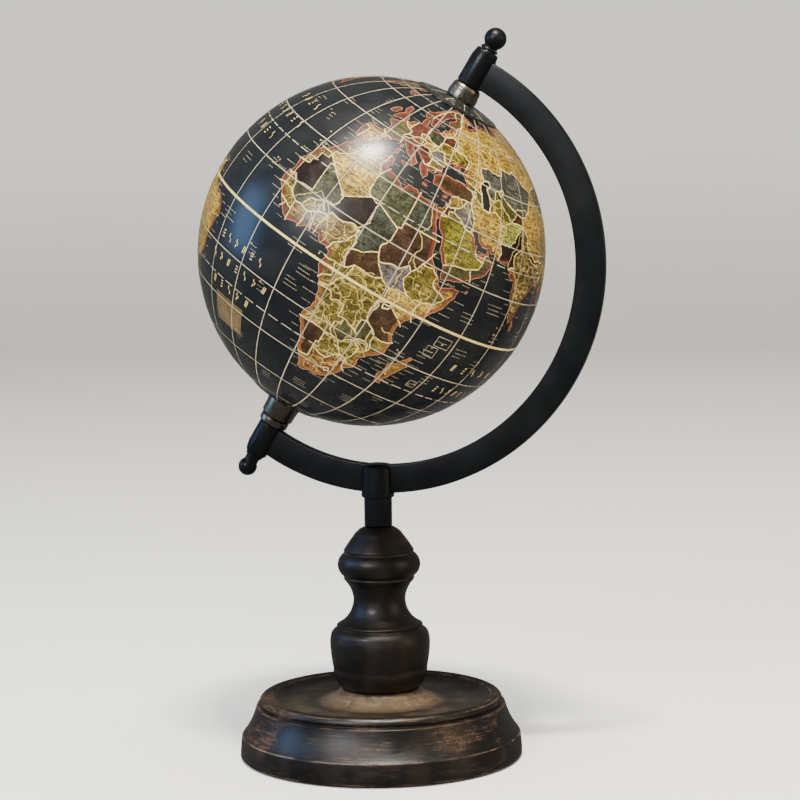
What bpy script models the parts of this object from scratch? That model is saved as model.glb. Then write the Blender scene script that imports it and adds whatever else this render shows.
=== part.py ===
"""A small desktop globe that turns on a tilted axle, held by a flat arc on a turned wooden stand.

Units are metres, +Z is up, and the origin is the middle of the face that the stand rests on.
The arc lies in the XZ plane and bulges to +X. Lengths written with MM are in millimetres.
"""

import math

import bmesh
import bpy
from mathutils import Vector

MM = 0.001

# Driving dimensions, in millimetres unless the name says otherwise.
GAP = 0.3  # between neighbouring pieces
GLOBE_R = 62.7  # a five inch globe, at its equator
POLE_STRETCH = 1.01  # the globe is this much longer along its axle
GLOBE_X = -1.0
GLOBE_Z = 183.7
AXIS_TILT = math.radians(32.15)  # from the vertical, towards +X
SHELL_WALL = 1.6
POLE_HOLE_R = 4.0
AXLE_R = 1.5
AXLE_BORE_R = AXLE_R + GAP

ARC_X = 2.2
ARC_Z = 179.0
ARC_INNER_R = 72.1
ARC_OUTER_R = 82.6
ARC_THICK = 4.0
ARC_EDGE = 0.5

BASE_R = 51.6
FELT_R = 47.0
FELT_THICK = 1.2
FELT_PROUD = 0.3
FLOOR_Z = 20.0  # the flat of the base's dish
BOSS_Z = 24.3
SPINDLE_TOP_Z = 83.9
NECK_R = 9.5
BULB_R = 18.3
BEAD_R = 15.1
TIE_ROD_R = 2.5
TIE_BORE_R = TIE_ROD_R + GAP
COUNTERBORE_R = 9.0
COUNTERBORE_Z = 12.0

POST_R = 5.1
POST_HEAD_R = 6.0
POST_HEAD_Z = 94.6
POST_TOP_Z = 107.4
POST_BORE_Z = 93.4
PIN_R = 1.5
PIN_Z = 101.6
PIN_LENGTH = 11.4

SLEEVE_UPPER = (69.4, 83.0)  # from the globe's centre along the axle, inner and outer end
SLEEVE_UPPER_R = 4.7
SLEEVE_LOWER = (74.2, 87.0)
SLEEVE_LOWER_R = 4.6
FERRULE_UPPER_END = 69.1
FERRULE_LOWER_END = 70.7
SPACER = (71.0, 73.9)
SPACER_R = 5.5
BALL_UPPER = (88.0, 3.95)  # centre's distance along the axle, and radius
BALL_LOWER = (92.9, 3.5)
BUSH_END = 65.4
BUSH_FLANGE = (58.9, 60.4)
BUSH_FLANGE_R = 9.0
BUSH_R = POLE_HOLE_R - GAP
CALOTTE_R = 16.0  # the round cap over the map's gores at each pole
CALOTTE_THICK = 0.9
FERRULE_SEAT = 64.9
RING_R = 60.2
RING_WALL = 1.5
RING_HALF_HEIGHT = 5.0

BASE_STEPS = 44
SPINDLE_STEPS = 28
GLOBE_STEPS = 36
SMALL_STEPS = 24
FINE_STEPS = 20

# Colour, roughness and metallic value of each material.
MATERIALS = {
    "dark_wood": ((0.028, 0.017, 0.011), 0.45, 0.0),
    "felt": ((0.02, 0.025, 0.02), 0.95, 0.0),
    "black_metal": ((0.008, 0.009, 0.011), 0.35, 0.6),
    "nickel": ((0.62, 0.60, 0.56), 0.28, 1.0),
    "steel": ((0.45, 0.45, 0.46), 0.35, 1.0),
    "printed_globe": ((0.035, 0.035, 0.03), 0.25, 0.0),
    "nylon": ((0.75, 0.73, 0.68), 0.5, 0.0),
    "board": ((0.42, 0.33, 0.22), 0.85, 0.0),
}


def clear_scene():
    for item in list(bpy.data.objects):
        bpy.data.objects.remove(item, do_unlink=True)


def new_collection(name):
    made = bpy.data.collections.new(name)
    bpy.context.scene.collection.children.link(made)
    return made


def new_material(name):
    colour, roughness, metallic = MATERIALS[name]
    made = bpy.data.materials.new(name)
    made.use_nodes = True
    shader = made.node_tree.nodes["Principled BSDF"]
    shader.inputs["Base Color"].default_value = (*colour, 1.0)
    shader.inputs["Roughness"].default_value = roughness
    shader.inputs["Metallic"].default_value = metallic
    made.diffuse_color = (*colour, 1.0)
    return made


def arc_between(start, end, sagitta, steps):
    """The points after start up to end, on an arc that bulges by sagitta to the left of the way from start to end."""
    chord = Vector(end) - Vector(start)
    half = chord.length / 2
    radius = (half**2 + sagitta**2) / (2 * abs(sagitta))
    left = Vector((-chord.y, chord.x)).normalized()
    side = math.copysign(1.0, sagitta)
    centre = Vector(start) + chord / 2 - left * side * (radius - abs(sagitta))
    sweep = 2 * math.asin(min(1.0, half / radius))
    spoke = Vector(start) - centre
    points = []
    for step in range(1, steps + 1):
        turn = -side * sweep * step / steps
        x = spoke.x * math.cos(turn) - spoke.y * math.sin(turn)
        y = spoke.x * math.sin(turn) + spoke.y * math.cos(turn)
        points.append((centre.x + x, centre.y + y))
    return points


def outline(*stretches):
    """A turned outline from (radius, height) corners. A third value bulges the stretch that ends there by that sagitta,
    outwards on a stretch that runs down, and a fourth is its number of steps."""
    points = []
    for corner in stretches:
        if len(corner) == 2:
            points.append(corner)
        else:
            steps = corner[3] if len(corner) > 3 else 4
            points += arc_between(points[-1], corner[:2], corner[2], steps)
    return points


def below(points):
    """The same outline on the other side of the globe, still running down its outer side."""
    return [(radius, -height) for radius, height in reversed(points)]


def add_object(name, mesh, material, collection, parent=None):
    made = bpy.data.objects.new(name, mesh)
    collection.objects.link(made)
    made.parent = parent
    if material:
        mesh.materials.append(material)
    return made


def smooth(made):
    made.data.shade_smooth()
    made.data.set_sharp_from_angle(angle=math.radians(35))


def turned(name, points, closed, steps, material, collection, parent=None):
    """A solid turned about its own Z axis. A closed outline leaves a bore, an open one starts and ends on the axis."""
    mesh = bpy.data.meshes.new(name)
    vertices = [(radius * MM, 0.0, height * MM) for radius, height in points]
    edges = [(i, i + 1) for i in range(len(points) - 1)]
    if closed:
        edges.append((len(points) - 1, 0))
    mesh.from_pydata(vertices, edges, [])
    made = add_object(name, mesh, material, collection, parent)
    screw = made.modifiers.new("turn", "SCREW")
    screw.axis = "Z"
    screw.angle = 2 * math.pi
    screw.steps = steps
    screw.render_steps = steps
    screw.use_merge_vertices = True
    screw.merge_threshold = 0.00001
    screw.use_smooth_shade = True
    return made


def cylinder_mesh(name, radius, length, segments):
    """A closed cylinder about Z, centred on its origin."""
    mesh = bpy.data.meshes.new(name)
    shape = bmesh.new()
    bmesh.ops.create_cone(
        shape,
        cap_ends=True,
        segments=segments,
        radius1=radius * MM,
        radius2=radius * MM,
        depth=length * MM,
    )
    shape.to_mesh(mesh)
    shape.free()
    return mesh


def box_mesh(name, size):
    mesh = bpy.data.meshes.new(name)
    shape = bmesh.new()
    bmesh.ops.create_cube(shape, size=1.0)
    bmesh.ops.scale(shape, vec=Vector(size) * MM, verts=shape.verts)
    shape.to_mesh(mesh)
    shape.free()
    return mesh


def as_cutter(made):
    made.hide_render = True
    made.display_type = "WIRE"
    return made


def cut(made, cutter):
    boolean = made.modifiers.new("cut", "BOOLEAN")
    boolean.operation = "DIFFERENCE"
    boolean.solver = "EXACT"
    boolean.object = cutter


def polar_axis_empty(collection):
    """An empty at the globe's centre with its Z along the axle, which every piece on the axle hangs from."""
    made = bpy.data.objects.new("polar_axis", None)
    collection.objects.link(made)
    made.location = (GLOBE_X * MM, 0.0, GLOBE_Z * MM)
    made.rotation_euler = (0.0, AXIS_TILT, 0.0)
    return made


# The stand


def base_outline():
    lip_z = BOSS_Z - 5.4  # the step between the rim's groove and the cove
    band_z = 8.6
    bottom_z = FELT_PROUD
    return outline(
        (TIE_BORE_R, BOSS_Z),
        (14.4, BOSS_Z),
        (22.8, FLOOR_Z, -0.5, 3),
        (36.0, FLOOR_Z),
        (40.6, lip_z + 3.3, -0.4, 3),
        (43.8, lip_z + 3.0, 0.65, 4),
        (44.5, lip_z + 1.5, 0.15, 2),
        (44.1, lip_z + 0.6),
        (45.6, lip_z),
        (BASE_R - 1.0, band_z, -0.6, 5),
        (BASE_R - 0.5, band_z - 0.9, 0.1, 2),
        (BASE_R, 2.8),
        (BASE_R, bottom_z + 0.5),
        (BASE_R - 0.5, bottom_z),
        (FELT_R + GAP, bottom_z),
        (FELT_R + GAP, FELT_THICK + GAP),
        (COUNTERBORE_R, FELT_THICK + GAP),
        (COUNTERBORE_R, COUNTERBORE_Z),
        (TIE_BORE_R, COUNTERBORE_Z),
    )


def spindle_outline():
    foot_z = BOSS_Z + GAP
    return outline(
        (TIE_BORE_R, SPINDLE_TOP_Z),
        (5.5, SPINDLE_TOP_Z),
        (9.2, 80.7, 0.4, 3),
        (12.7, 75.7, 0.1, 2),
        (12.9, 75.3),
        (12.5, 74.9),
        (13.1, 74.2),
        (13.3, 66.3, BEAD_R - 13.2, 7),
        (12.7, 65.8),
        (13.0, 65.3),
        (12.6, 64.5),
        (NECK_R, 57.6, -0.65, 4),
        (15.6, 48.3, -1.65, 5),
        (15.8, 47.9),
        (15.4, 47.3),
        (16.2, 46.7),
        (17.9, 44.7, 0.3, 3),
        (BULB_R, 42.6),
        (17.2, 32.4, 0.3, 3),
        (13.8, foot_z, 1.0, 4),
        (TIE_BORE_R, foot_z),
    )


def post_outline():
    foot_z = SPINDLE_TOP_Z + GAP
    return outline(
        (0.0, POST_TOP_Z),
        (3.6, POST_TOP_Z - 0.3),
        (POST_HEAD_R, POST_TOP_Z - 1.9, 0.35, 3),
        (POST_HEAD_R, POST_HEAD_Z + 0.4),
        (POST_R, POST_HEAD_Z),
        (POST_R, foot_z + 0.3),
        (POST_R - 0.3, foot_z),
        (TIE_BORE_R, foot_z),
        (TIE_BORE_R, POST_BORE_Z),
        (0.0, POST_BORE_Z + 1.0),
    )


def make_base(parts, materials):
    turned("base_disc", base_outline(), True, BASE_STEPS, materials["dark_wood"], parts)
    felt = cylinder_mesh("base_felt_pad", FELT_R, FELT_THICK, BASE_STEPS)
    pad = add_object("base_felt_pad", felt, materials["felt"], parts)
    pad.location.z = FELT_THICK / 2 * MM


def make_tie(parts, cutters, materials):
    """The threaded rod that draws base, spindle and post together, with its washer and nut."""
    rod_low = 4.6
    rod_high = POST_BORE_Z - 0.8
    rod = outline(
        (0.0, rod_high),
        (TIE_ROD_R - 0.4, rod_high),
        (TIE_ROD_R, rod_high - 0.4),
        (TIE_ROD_R, rod_low + 0.4),
        (TIE_ROD_R - 0.4, rod_low),
        (0.0, rod_low),
    )
    turned("tie_rod", rod, False, 16, materials["steel"], parts)
    washer_high = COUNTERBORE_Z - GAP
    washer_low = washer_high - 1.2
    washer = [
        (TIE_BORE_R, washer_high),
        (7.5, washer_high),
        (7.5, washer_low),
        (TIE_BORE_R, washer_low),
    ]
    turned("base_washer", washer, True, FINE_STEPS, materials["steel"], parts)
    nut_height = 4.0
    nut_z = (washer_low - GAP - nut_height / 2) * MM
    nut_mesh = cylinder_mesh("base_nut", 8.0 / math.sqrt(3), nut_height, 6)
    nut = add_object("base_nut", nut_mesh, materials["steel"], parts)
    nut.location.z = nut_z
    hole_mesh = cylinder_mesh("nut_hole", TIE_BORE_R, nut_height * 2, 16)
    hole = as_cutter(add_object("nut_hole", hole_mesh, None, cutters))
    hole.location.z = nut_z
    cut(nut, hole)


def make_spindle(parts, materials):
    turned("spindle", spindle_outline(), True, SPINDLE_STEPS, materials["dark_wood"], parts)


def make_pin_hole(cutters):
    mesh = cylinder_mesh("pin_hole", PIN_R + GAP, 4 * POST_HEAD_R, 16)
    hole = as_cutter(add_object("pin_hole", mesh, None, cutters))
    hole.location.z = PIN_Z * MM
    hole.rotation_euler.x = math.pi / 2
    return hole


def make_post(parts, cutters, materials, pin_hole):
    post = turned("arc_post", post_outline(), False, 28, materials["black_metal"], parts)
    slot_low = ARC_Z - ARC_OUTER_R - GAP
    slot_high = POST_TOP_Z + 4.0
    size = (4 * POST_HEAD_R, ARC_THICK + 2 * GAP, slot_high - slot_low)
    slot = as_cutter(add_object("post_slot", box_mesh("post_slot", size), None, cutters))
    slot.location.z = (slot_low + slot_high) / 2 * MM
    cut(post, slot)
    cut(post, pin_hole)
    pin_mesh = cylinder_mesh("post_cross_pin", PIN_R, PIN_LENGTH, 16)
    pin = add_object("post_cross_pin", pin_mesh, materials["black_metal"], parts)
    pin.location.z = PIN_Z * MM
    pin.rotation_euler.x = math.pi / 2


# The arc and what is on the axle


def arc_end_angles():
    """The angles, seen from the arc's centre, where the middle of its band crosses the axle's line."""
    along = Vector((math.sin(AXIS_TILT), math.cos(AXIS_TILT)))
    offset = Vector((GLOBE_X - ARC_X, GLOBE_Z - ARC_Z))
    middle_r = (ARC_INNER_R + ARC_OUTER_R) / 2
    reach = offset.dot(along)
    root = math.sqrt(reach**2 - offset.length_squared + middle_r**2)
    ends = []
    for distance in (-reach - root, -reach + root):
        point = offset + along * distance
        ends.append(math.atan2(point.y, point.x))
    return ends


def arc_curve(low, high, steps):
    """The band's flat outline as a 2D curve, in the plane of the arc."""
    angles = [low + (high - low) * i / steps for i in range(steps + 1)]
    points = [(ARC_OUTER_R * math.cos(a), ARC_OUTER_R * math.sin(a)) for a in angles]
    points += [(ARC_INNER_R * math.cos(a), ARC_INNER_R * math.sin(a)) for a in reversed(angles)]
    curve = bpy.data.curves.new("arc_outline", "CURVE")
    curve.dimensions = "2D"
    curve.fill_mode = "BOTH"
    curve.extrude = ARC_THICK / 2 * MM
    spline = curve.splines.new("POLY")
    spline.points.add(len(points) - 1)
    for spot, (x, y) in zip(spline.points, points):
        spot.co = (x * MM, y * MM, 0.0, 1.0)
    spline.use_cyclic_u = True
    return curve


def mesh_of_curve(curve, name, collection):
    """The curve's solid as a mesh, its caps welded to its sides."""
    guide = bpy.data.objects.new(name, curve)
    collection.objects.link(guide)
    graph = bpy.context.evaluated_depsgraph_get()
    mesh = bpy.data.meshes.new_from_object(guide.evaluated_get(graph))
    bpy.data.objects.remove(guide, do_unlink=True)
    shape = bmesh.new()
    shape.from_mesh(mesh)
    bmesh.ops.remove_doubles(shape, verts=shape.verts, dist=0.000001)
    bmesh.ops.recalc_face_normals(shape, faces=shape.faces)
    shape.to_mesh(mesh)
    shape.free()
    return mesh


def make_arc(parts, cutters, materials, axis, pin_hole):
    low, high = arc_end_angles()
    mesh = mesh_of_curve(arc_curve(low, high, 60), "arc_outline", parts)
    arc = add_object("meridian_arc", mesh, materials["black_metal"], parts)
    arc.location = (ARC_X * MM, 0.0, ARC_Z * MM)
    arc.rotation_euler.x = math.pi / 2
    bevel = arc.modifiers.new("edge", "BEVEL")
    bevel.width = ARC_EDGE * MM
    bevel.segments = 1
    bevel.limit_method = "ANGLE"
    bevel.angle_limit = math.radians(60)
    upper = [
        (0.0, 95.0),
        (SLEEVE_UPPER_R + GAP, 95.0),
        (SLEEVE_UPPER_R + GAP, 66.0),
        (0.0, 66.0),
    ]
    lower = [
        (0.0, 98.0),
        (SLEEVE_LOWER_R + GAP, 98.0),
        (SLEEVE_LOWER_R + GAP, SPACER[1] + GAP),
        (SPACER_R + GAP, SPACER[1] + GAP),
        (SPACER_R + GAP, 66.0),
        (0.0, 66.0),
    ]
    for name, points in (("upper_end_cut", upper), ("lower_end_cut", below(lower))):
        cutter = turned(name, points, False, SMALL_STEPS, None, cutters, axis)
        cut(arc, as_cutter(cutter))
    cut(arc, pin_hole)
    smooth(arc)


def sleeve_outline(span, radius):
    inner, outer = span
    return outline(
        (AXLE_BORE_R, outer),
        (radius - 0.9, outer),
        (radius - 0.6, outer - 0.3),
        (radius, outer - 3.4),
        (radius, inner + 0.3),
        (radius - 0.2, inner),
        (AXLE_BORE_R, inner),
    )


def finial_outline(ball, sleeve_end):
    """A ball on a short neck with a collar, bored from the collar's side."""
    centre, radius = ball
    neck_r = 2.6
    collar_low = sleeve_end + GAP
    collar_high = collar_low + 1.1
    neck_angle = math.asin(neck_r / radius)
    rings = 9
    points = []
    for ring in range(rings + 1):
        angle = (math.pi - neck_angle) * ring / rings
        points.append((radius * math.sin(angle), centre + radius * math.cos(angle)))
    points += [
        (neck_r, collar_high),
        (3.2, collar_high - 0.2),
        (3.3, collar_low + 0.3),
        (3.1, collar_low),
        (AXLE_BORE_R, collar_low),
        (AXLE_BORE_R, centre),
        (0.0, centre + 0.6),
    ]
    return points


def upper_ferrule_outline():
    end = FERRULE_UPPER_END
    return outline(
        (AXLE_BORE_R, end),
        (4.6, end),
        (5.4, end - 2.4, 0.3, 3),
        (5.7, FERRULE_SEAT + 0.5),
        (5.6, FERRULE_SEAT),
        (POLE_HOLE_R, FERRULE_SEAT),
        (POLE_HOLE_R, BUSH_END + GAP),
        (AXLE_BORE_R, BUSH_END + GAP),
    )


def lower_ferrule_outline():
    end = FERRULE_LOWER_END
    return outline(
        (AXLE_BORE_R, end),
        (5.5, end),
        (6.05, end - 0.5, 0.1, 2),
        (6.15, 66.6),
        (6.3, 65.9),
        (6.3, FERRULE_SEAT),
        (POLE_HOLE_R, FERRULE_SEAT),
        (POLE_HOLE_R, BUSH_END + GAP),
        (AXLE_BORE_R, BUSH_END + GAP),
    )


def spacer_outline():
    inner, outer = SPACER
    return outline(
        (AXLE_BORE_R, outer),
        (SPACER_R - 0.5, outer),
        (SPACER_R, outer - 0.6, 0.1, 2),
        (SPACER_R, inner + 0.5),
        (SPACER_R - 0.4, inner),
        (AXLE_BORE_R, inner),
    )


def make_axle(parts, materials, axis):
    high = BALL_UPPER[0] - 0.8
    low = -(BALL_LOWER[0] - 0.8)
    rod = outline(
        (0.0, high),
        (AXLE_R - 0.3, high),
        (AXLE_R, high - 0.3),
        (AXLE_R, low + 0.3),
        (AXLE_R - 0.3, low),
        (0.0, low),
    )
    turned("axle_rod", rod, False, 16, materials["steel"], parts, axis)


def make_axle_ends(parts, materials, axis):
    """What the stand carries on the axle: sleeves, finials and the spacer ring."""
    black = materials["black_metal"]
    upper = sleeve_outline(SLEEVE_UPPER, SLEEVE_UPPER_R)
    lower = sleeve_outline(SLEEVE_LOWER, SLEEVE_LOWER_R)
    turned("upper_sleeve", upper, True, SMALL_STEPS, black, parts, axis)
    turned("lower_sleeve", below(lower), True, SMALL_STEPS, black, parts, axis)
    upper = finial_outline(BALL_UPPER, SLEEVE_UPPER[1])
    lower = finial_outline(BALL_LOWER, SLEEVE_LOWER[1])
    turned("upper_finial", upper, False, FINE_STEPS, black, parts, axis)
    turned("lower_finial", below(lower), False, FINE_STEPS, black, parts, axis)
    ring = below(spacer_outline())
    turned("lower_spacer_ring", ring, True, SMALL_STEPS, materials["nickel"], parts, axis)


# The globe


def oval_point(radius, angle):
    """The point at this angle from the pole on a globe of this radius at its equator."""
    return (radius * math.sin(angle), radius * math.cos(angle) * POLE_STRETCH)


def shell_outline():
    """A half shell from its pole hole down to just above the equator, and back up inside."""
    inner_r = GLOBE_R - SHELL_WALL
    rings = 9
    points = []
    for radius, order in ((GLOBE_R, 1), (inner_r, -1)):
        pole_angle = math.asin(POLE_HOLE_R / radius)
        rim_angle = math.acos(GAP / 2 / (radius * POLE_STRETCH))
        span = rim_angle - pole_angle
        angles = [pole_angle + span * i / rings for i in range(rings + 1)]
        points += [oval_point(radius, a) for a in angles[::order]]
    return points


def calotte_outline():
    """A thin domed disc that lies on the globe around the pole hole, with a rounded rim."""
    low_r = GLOBE_R + GAP
    high_r = low_r + CALOTTE_THICK
    points = []
    for radius, first, last in (
        (high_r, POLE_HOLE_R, CALOTTE_R - 2.2),
        (low_r, CALOTTE_R, POLE_HOLE_R),
    ):
        start = math.asin(first / radius)
        span = math.asin(last / radius) - start
        angles = [start + span * i / 3 for i in range(4)]
        points += [oval_point(radius, a) for a in angles]
    return points


def bushing_outline():
    low, high = BUSH_FLANGE
    return [
        (AXLE_BORE_R, BUSH_END),
        (BUSH_R, BUSH_END),
        (BUSH_R, high),
        (BUSH_FLANGE_R, high),
        (BUSH_FLANGE_R, low),
        (AXLE_BORE_R, low),
    ]


def make_globe(parts, materials, axis):
    printed = materials["printed_globe"]
    shell = shell_outline()
    turned("globe_north_shell", shell, True, GLOBE_STEPS, printed, parts, axis)
    turned("globe_south_shell", below(shell), True, GLOBE_STEPS, printed, parts, axis)
    ring = [
        (RING_R - RING_WALL, RING_HALF_HEIGHT),
        (RING_R, RING_HALF_HEIGHT),
        (RING_R, -RING_HALF_HEIGHT),
        (RING_R - RING_WALL, -RING_HALF_HEIGHT),
    ]
    turned("equator_joining_ring", ring, True, GLOBE_STEPS, materials["board"], parts, axis)
    bushing = bushing_outline()
    turned("north_pole_bushing", bushing, True, FINE_STEPS, materials["nylon"], parts, axis)
    turned("south_pole_bushing", below(bushing), True, FINE_STEPS, materials["nylon"], parts, axis)
    calotte = calotte_outline()
    turned("north_pole_calotte", calotte, True, SMALL_STEPS, printed, parts, axis)
    turned("south_pole_calotte", below(calotte), True, SMALL_STEPS, printed, parts, axis)
    nickel = materials["nickel"]
    turned("upper_ferrule", upper_ferrule_outline(), True, SMALL_STEPS, nickel, parts, axis)
    lower = below(lower_ferrule_outline())
    turned("lower_ferrule", lower, True, SMALL_STEPS, nickel, parts, axis)


def main():
    clear_scene()
    parts = new_collection("desktop_globe")
    cutters = new_collection("cutters")
    materials = {name: new_material(name) for name in MATERIALS}
    axis = polar_axis_empty(parts)
    bpy.context.view_layer.update()
    pin_hole = make_pin_hole(cutters)
    make_base(parts, materials)
    make_tie(parts, cutters, materials)
    make_spindle(parts, materials)
    make_post(parts, cutters, materials, pin_hole)
    make_arc(parts, cutters, materials, axis, pin_hole)
    make_axle(parts, materials, axis)
    make_axle_ends(parts, materials, axis)
    make_globe(parts, materials, axis)


main()
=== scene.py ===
"""The looks of a desktop globe on its stand: finer meshes, materials, the printed map, lights and camera.

Sizes are in millimetres until MM turns them into the frame's metres. Only the camera, the room and the depth
of a material's relief are given in metres. The map is drawn as coasts, borders and rivers in degrees
of longitude and latitude, and laid on the globe as thin layers of mesh.
"""

import math
import random

import bmesh
import bpy
import numpy as np
from mathutils import Matrix, Vector
from mathutils.geometry import delaunay_2d_cdt


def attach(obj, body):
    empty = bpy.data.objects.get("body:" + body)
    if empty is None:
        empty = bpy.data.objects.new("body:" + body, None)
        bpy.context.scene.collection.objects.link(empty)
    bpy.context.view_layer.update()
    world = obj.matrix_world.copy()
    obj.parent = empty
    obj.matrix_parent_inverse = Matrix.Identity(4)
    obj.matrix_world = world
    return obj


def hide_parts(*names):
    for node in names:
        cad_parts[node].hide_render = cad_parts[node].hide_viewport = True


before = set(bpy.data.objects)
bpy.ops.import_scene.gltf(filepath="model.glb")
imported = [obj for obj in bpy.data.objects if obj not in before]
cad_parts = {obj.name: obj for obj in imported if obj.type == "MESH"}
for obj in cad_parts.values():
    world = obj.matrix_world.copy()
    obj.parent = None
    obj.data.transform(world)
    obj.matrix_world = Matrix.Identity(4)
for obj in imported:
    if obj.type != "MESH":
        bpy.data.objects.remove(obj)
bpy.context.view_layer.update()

MM = 0.001
GAP = 0.3

# The camera's place in metres, and its turns in degrees.
CAMERA_AT = (0.2410, -0.7614, 0.19605)
CAMERA_YAW = -16.954
CAMERA_PITCH = 4.727
CAMERA_ROLL = 0.785
LENS_MM = 99.38

# The stand.
BASE_R = 51.6
FELT_R = 47.0
FLOOR_Z = 20.0
BOSS_Z = 24.3
SPINDLE_TOP_Z = 83.9
NECK_R = 9.5
BULB_R = 18.3
BEAD_R = 15.1
TIE_BORE_R = 2.8
POST_R = 5.1
POST_HEAD_R = 6.0
POST_TOP_Z = 107.4
POST_HEAD_Z = 94.6
POST_BORE_Z = 93.4

# The arc, from its own centre.
ARC_X = 2.2
ARC_Z = 179.0
ARC_INNER_R = 72.1
ARC_OUTER_R = 82.58
ARC_THICK = 4.0
ARC_STEPS = 200

# The globe and what is on its axle, as distances from the globe's centre.
GLOBE_AT = Vector((-1.0, 0.0, 183.7)) * MM
AXIS_TILT = math.radians(32.15)
GLOBE_R = 62.7
POLE_STRETCH = 1.01
POLE_HOLE_R = 4.0
AXLE_BORE_R = 1.8
SLEEVE_UPPER = (69.4, 83.0)
SLEEVE_LOWER = (74.2, 87.0)
SLEEVE_UPPER_R = 4.7
SLEEVE_LOWER_R = 4.6
FERRULE_UPPER_END = 69.1
FERRULE_LOWER_END = 70.7
FERRULE_SEAT = 64.9
FERRULE_SKIRT = 63.75  # the ferrules reach down over the pole caps, outside the bushings
SPACER = (71.0, 73.9)
SPACER_R = 5.5
BALL_UPPER = (88.0, 3.95)
BALL_LOWER = (92.88, 3.47)
CALOTTE_R = 16.0

AXLE = np.array((math.sin(AXIS_TILT), 0.0, math.cos(AXIS_TILT)))
AXLE_FRAME = Matrix.Translation(GLOBE_AT) @ Matrix.Rotation(AXIS_TILT, 4, "Y")

SHARP_ANGLE = math.radians(50)
OUTLINE_STEPS = 14


# Material nodes


def socket_of(shader, name):
    """The shader's socket that has this name in lower case, with _ for each space."""
    return shader.inputs[name.replace("_", " ").title().replace("Ior", "IOR")]


def wire(shader, **sources):
    """Links each output to the shader's socket of that name."""
    for name, source in sources.items():
        shader.id_data.links.new(source, socket_of(shader, name))


def new_material(name, **sockets):
    """A material whose Principled shader has these values on its own sockets."""
    made = bpy.data.materials.new(name)
    made.use_nodes = True
    shader = made.node_tree.nodes["Principled BSDF"]
    for socket, value in sockets.items():
        socket_of(shader, socket).default_value = value
    return made, made.node_tree, shader


def add_node(tree, kind, inputs=None, **settings):
    """A node with its settings made. An input takes a value, or a socket that is linked to it."""
    made = tree.nodes.new(kind)
    for setting, value in settings.items():
        setattr(made, setting, value)
    for socket, value in (inputs or {}).items():
        if isinstance(value, bpy.types.NodeSocket):
            tree.links.new(value, made.inputs[socket])
        else:
            made.inputs[socket].default_value = value
    return made


def place(tree, stretch=(1.0, 1.0, 1.0)):
    """The point's place in the object, in metres, stretched along each axis."""
    coordinates = add_node(tree, "ShaderNodeTexCoord").outputs["Object"]
    scaled = add_node(tree, "ShaderNodeVectorMath", {0: coordinates, 1: stretch}, operation="MULTIPLY")
    return scaled.outputs["Vector"]


def noise(tree, scale, detail, roughness, stretch=(1.0, 1.0, 1.0), distortion=0.0):
    """Noise from 0 to 1 with about scale features to the metre."""
    inputs = {
        "Vector": place(tree, stretch),
        "Scale": scale,
        "Detail": detail,
        "Roughness": roughness,
        "Distortion": distortion,
    }
    return add_node(tree, "ShaderNodeTexNoise", inputs).outputs["Fac"]


def math_node(tree, operation, first, second=0.0):
    return add_node(tree, "ShaderNodeMath", {0: first, 1: second}, operation=operation).outputs[0]


def plus(tree, first, second):
    return math_node(tree, "ADD", first, second)


def times(tree, first, second):
    return math_node(tree, "MULTIPLY", first, second)


def between(tree, value, low, high, out_low=0.0, out_high=1.0):
    """The value mapped smoothly from low..high to out_low..out_high, and held there beyond."""
    inputs = {"Value": value, "From Min": low, "From Max": high, "To Min": out_low, "To Max": out_high}
    return add_node(tree, "ShaderNodeMapRange", inputs, interpolation_type="SMOOTHSTEP").outputs["Result"]


def mixed(tree, fac, first, second, blend="MIX"):
    """Two colours mixed. Each is a colour of three numbers or a socket."""
    made = add_node(tree, "ShaderNodeMix", data_type="RGBA", blend_type=blend)
    for index, value in ((0, fac), (6, first), (7, second)):
        if isinstance(value, bpy.types.NodeSocket):
            tree.links.new(value, made.inputs[index])
        elif index:
            made.inputs[index].default_value = (*value, 1.0)
        else:
            made.inputs[index].default_value = value
    return made.outputs[2]


def add_bump(tree, shader, height, strength, distance):
    """Relief in the shader's normal, as deep as distance in metres."""
    inputs = {"Height": height, "Strength": strength, "Distance": distance}
    bump = add_node(tree, "ShaderNodeBump", inputs)
    wire(shader, normal=bump.outputs["Normal"])


def height_and_radius(tree):
    """The point's height and its distance from the stand's axis, both in millimetres."""
    parts = add_node(tree, "ShaderNodeSeparateXYZ", {"Vector": place(tree, (1000.0, 1000.0, 1000.0))})
    x, y, z = (parts.outputs[i] for i in range(3))
    across = plus(tree, times(tree, x, x), times(tree, y, y))
    return z, math_node(tree, "SQRT", across)


def ring_at(tree, value, centre, width):
    """1 where the value is at centre, falling to 0 at width from it."""
    away = math_node(tree, "ABSOLUTE", math_node(tree, "SUBTRACT", value, centre))
    return between(tree, away, 0.0, width, 1.0, 0.0)


BLACK_PAINT = (0.0015, 0.0020, 0.0026)
BLACK_PAINT_RUBBED = (0.0033, 0.0042, 0.0052)
NICKEL = (0.145, 0.130, 0.102)
NICKEL_RUBBED = (0.29, 0.265, 0.22)
WOOD_BLACK = (0.0024, 0.0017, 0.0013)
WOOD_DARK = (0.0080, 0.0046, 0.0028)
WOOD_WORN = (0.064, 0.032, 0.0155)
WOOD_PALE = (0.16, 0.105, 0.058)
BOSS_TAN = (0.150, 0.106, 0.060)
DISH_OLIVE = (0.040, 0.031, 0.013)


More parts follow.
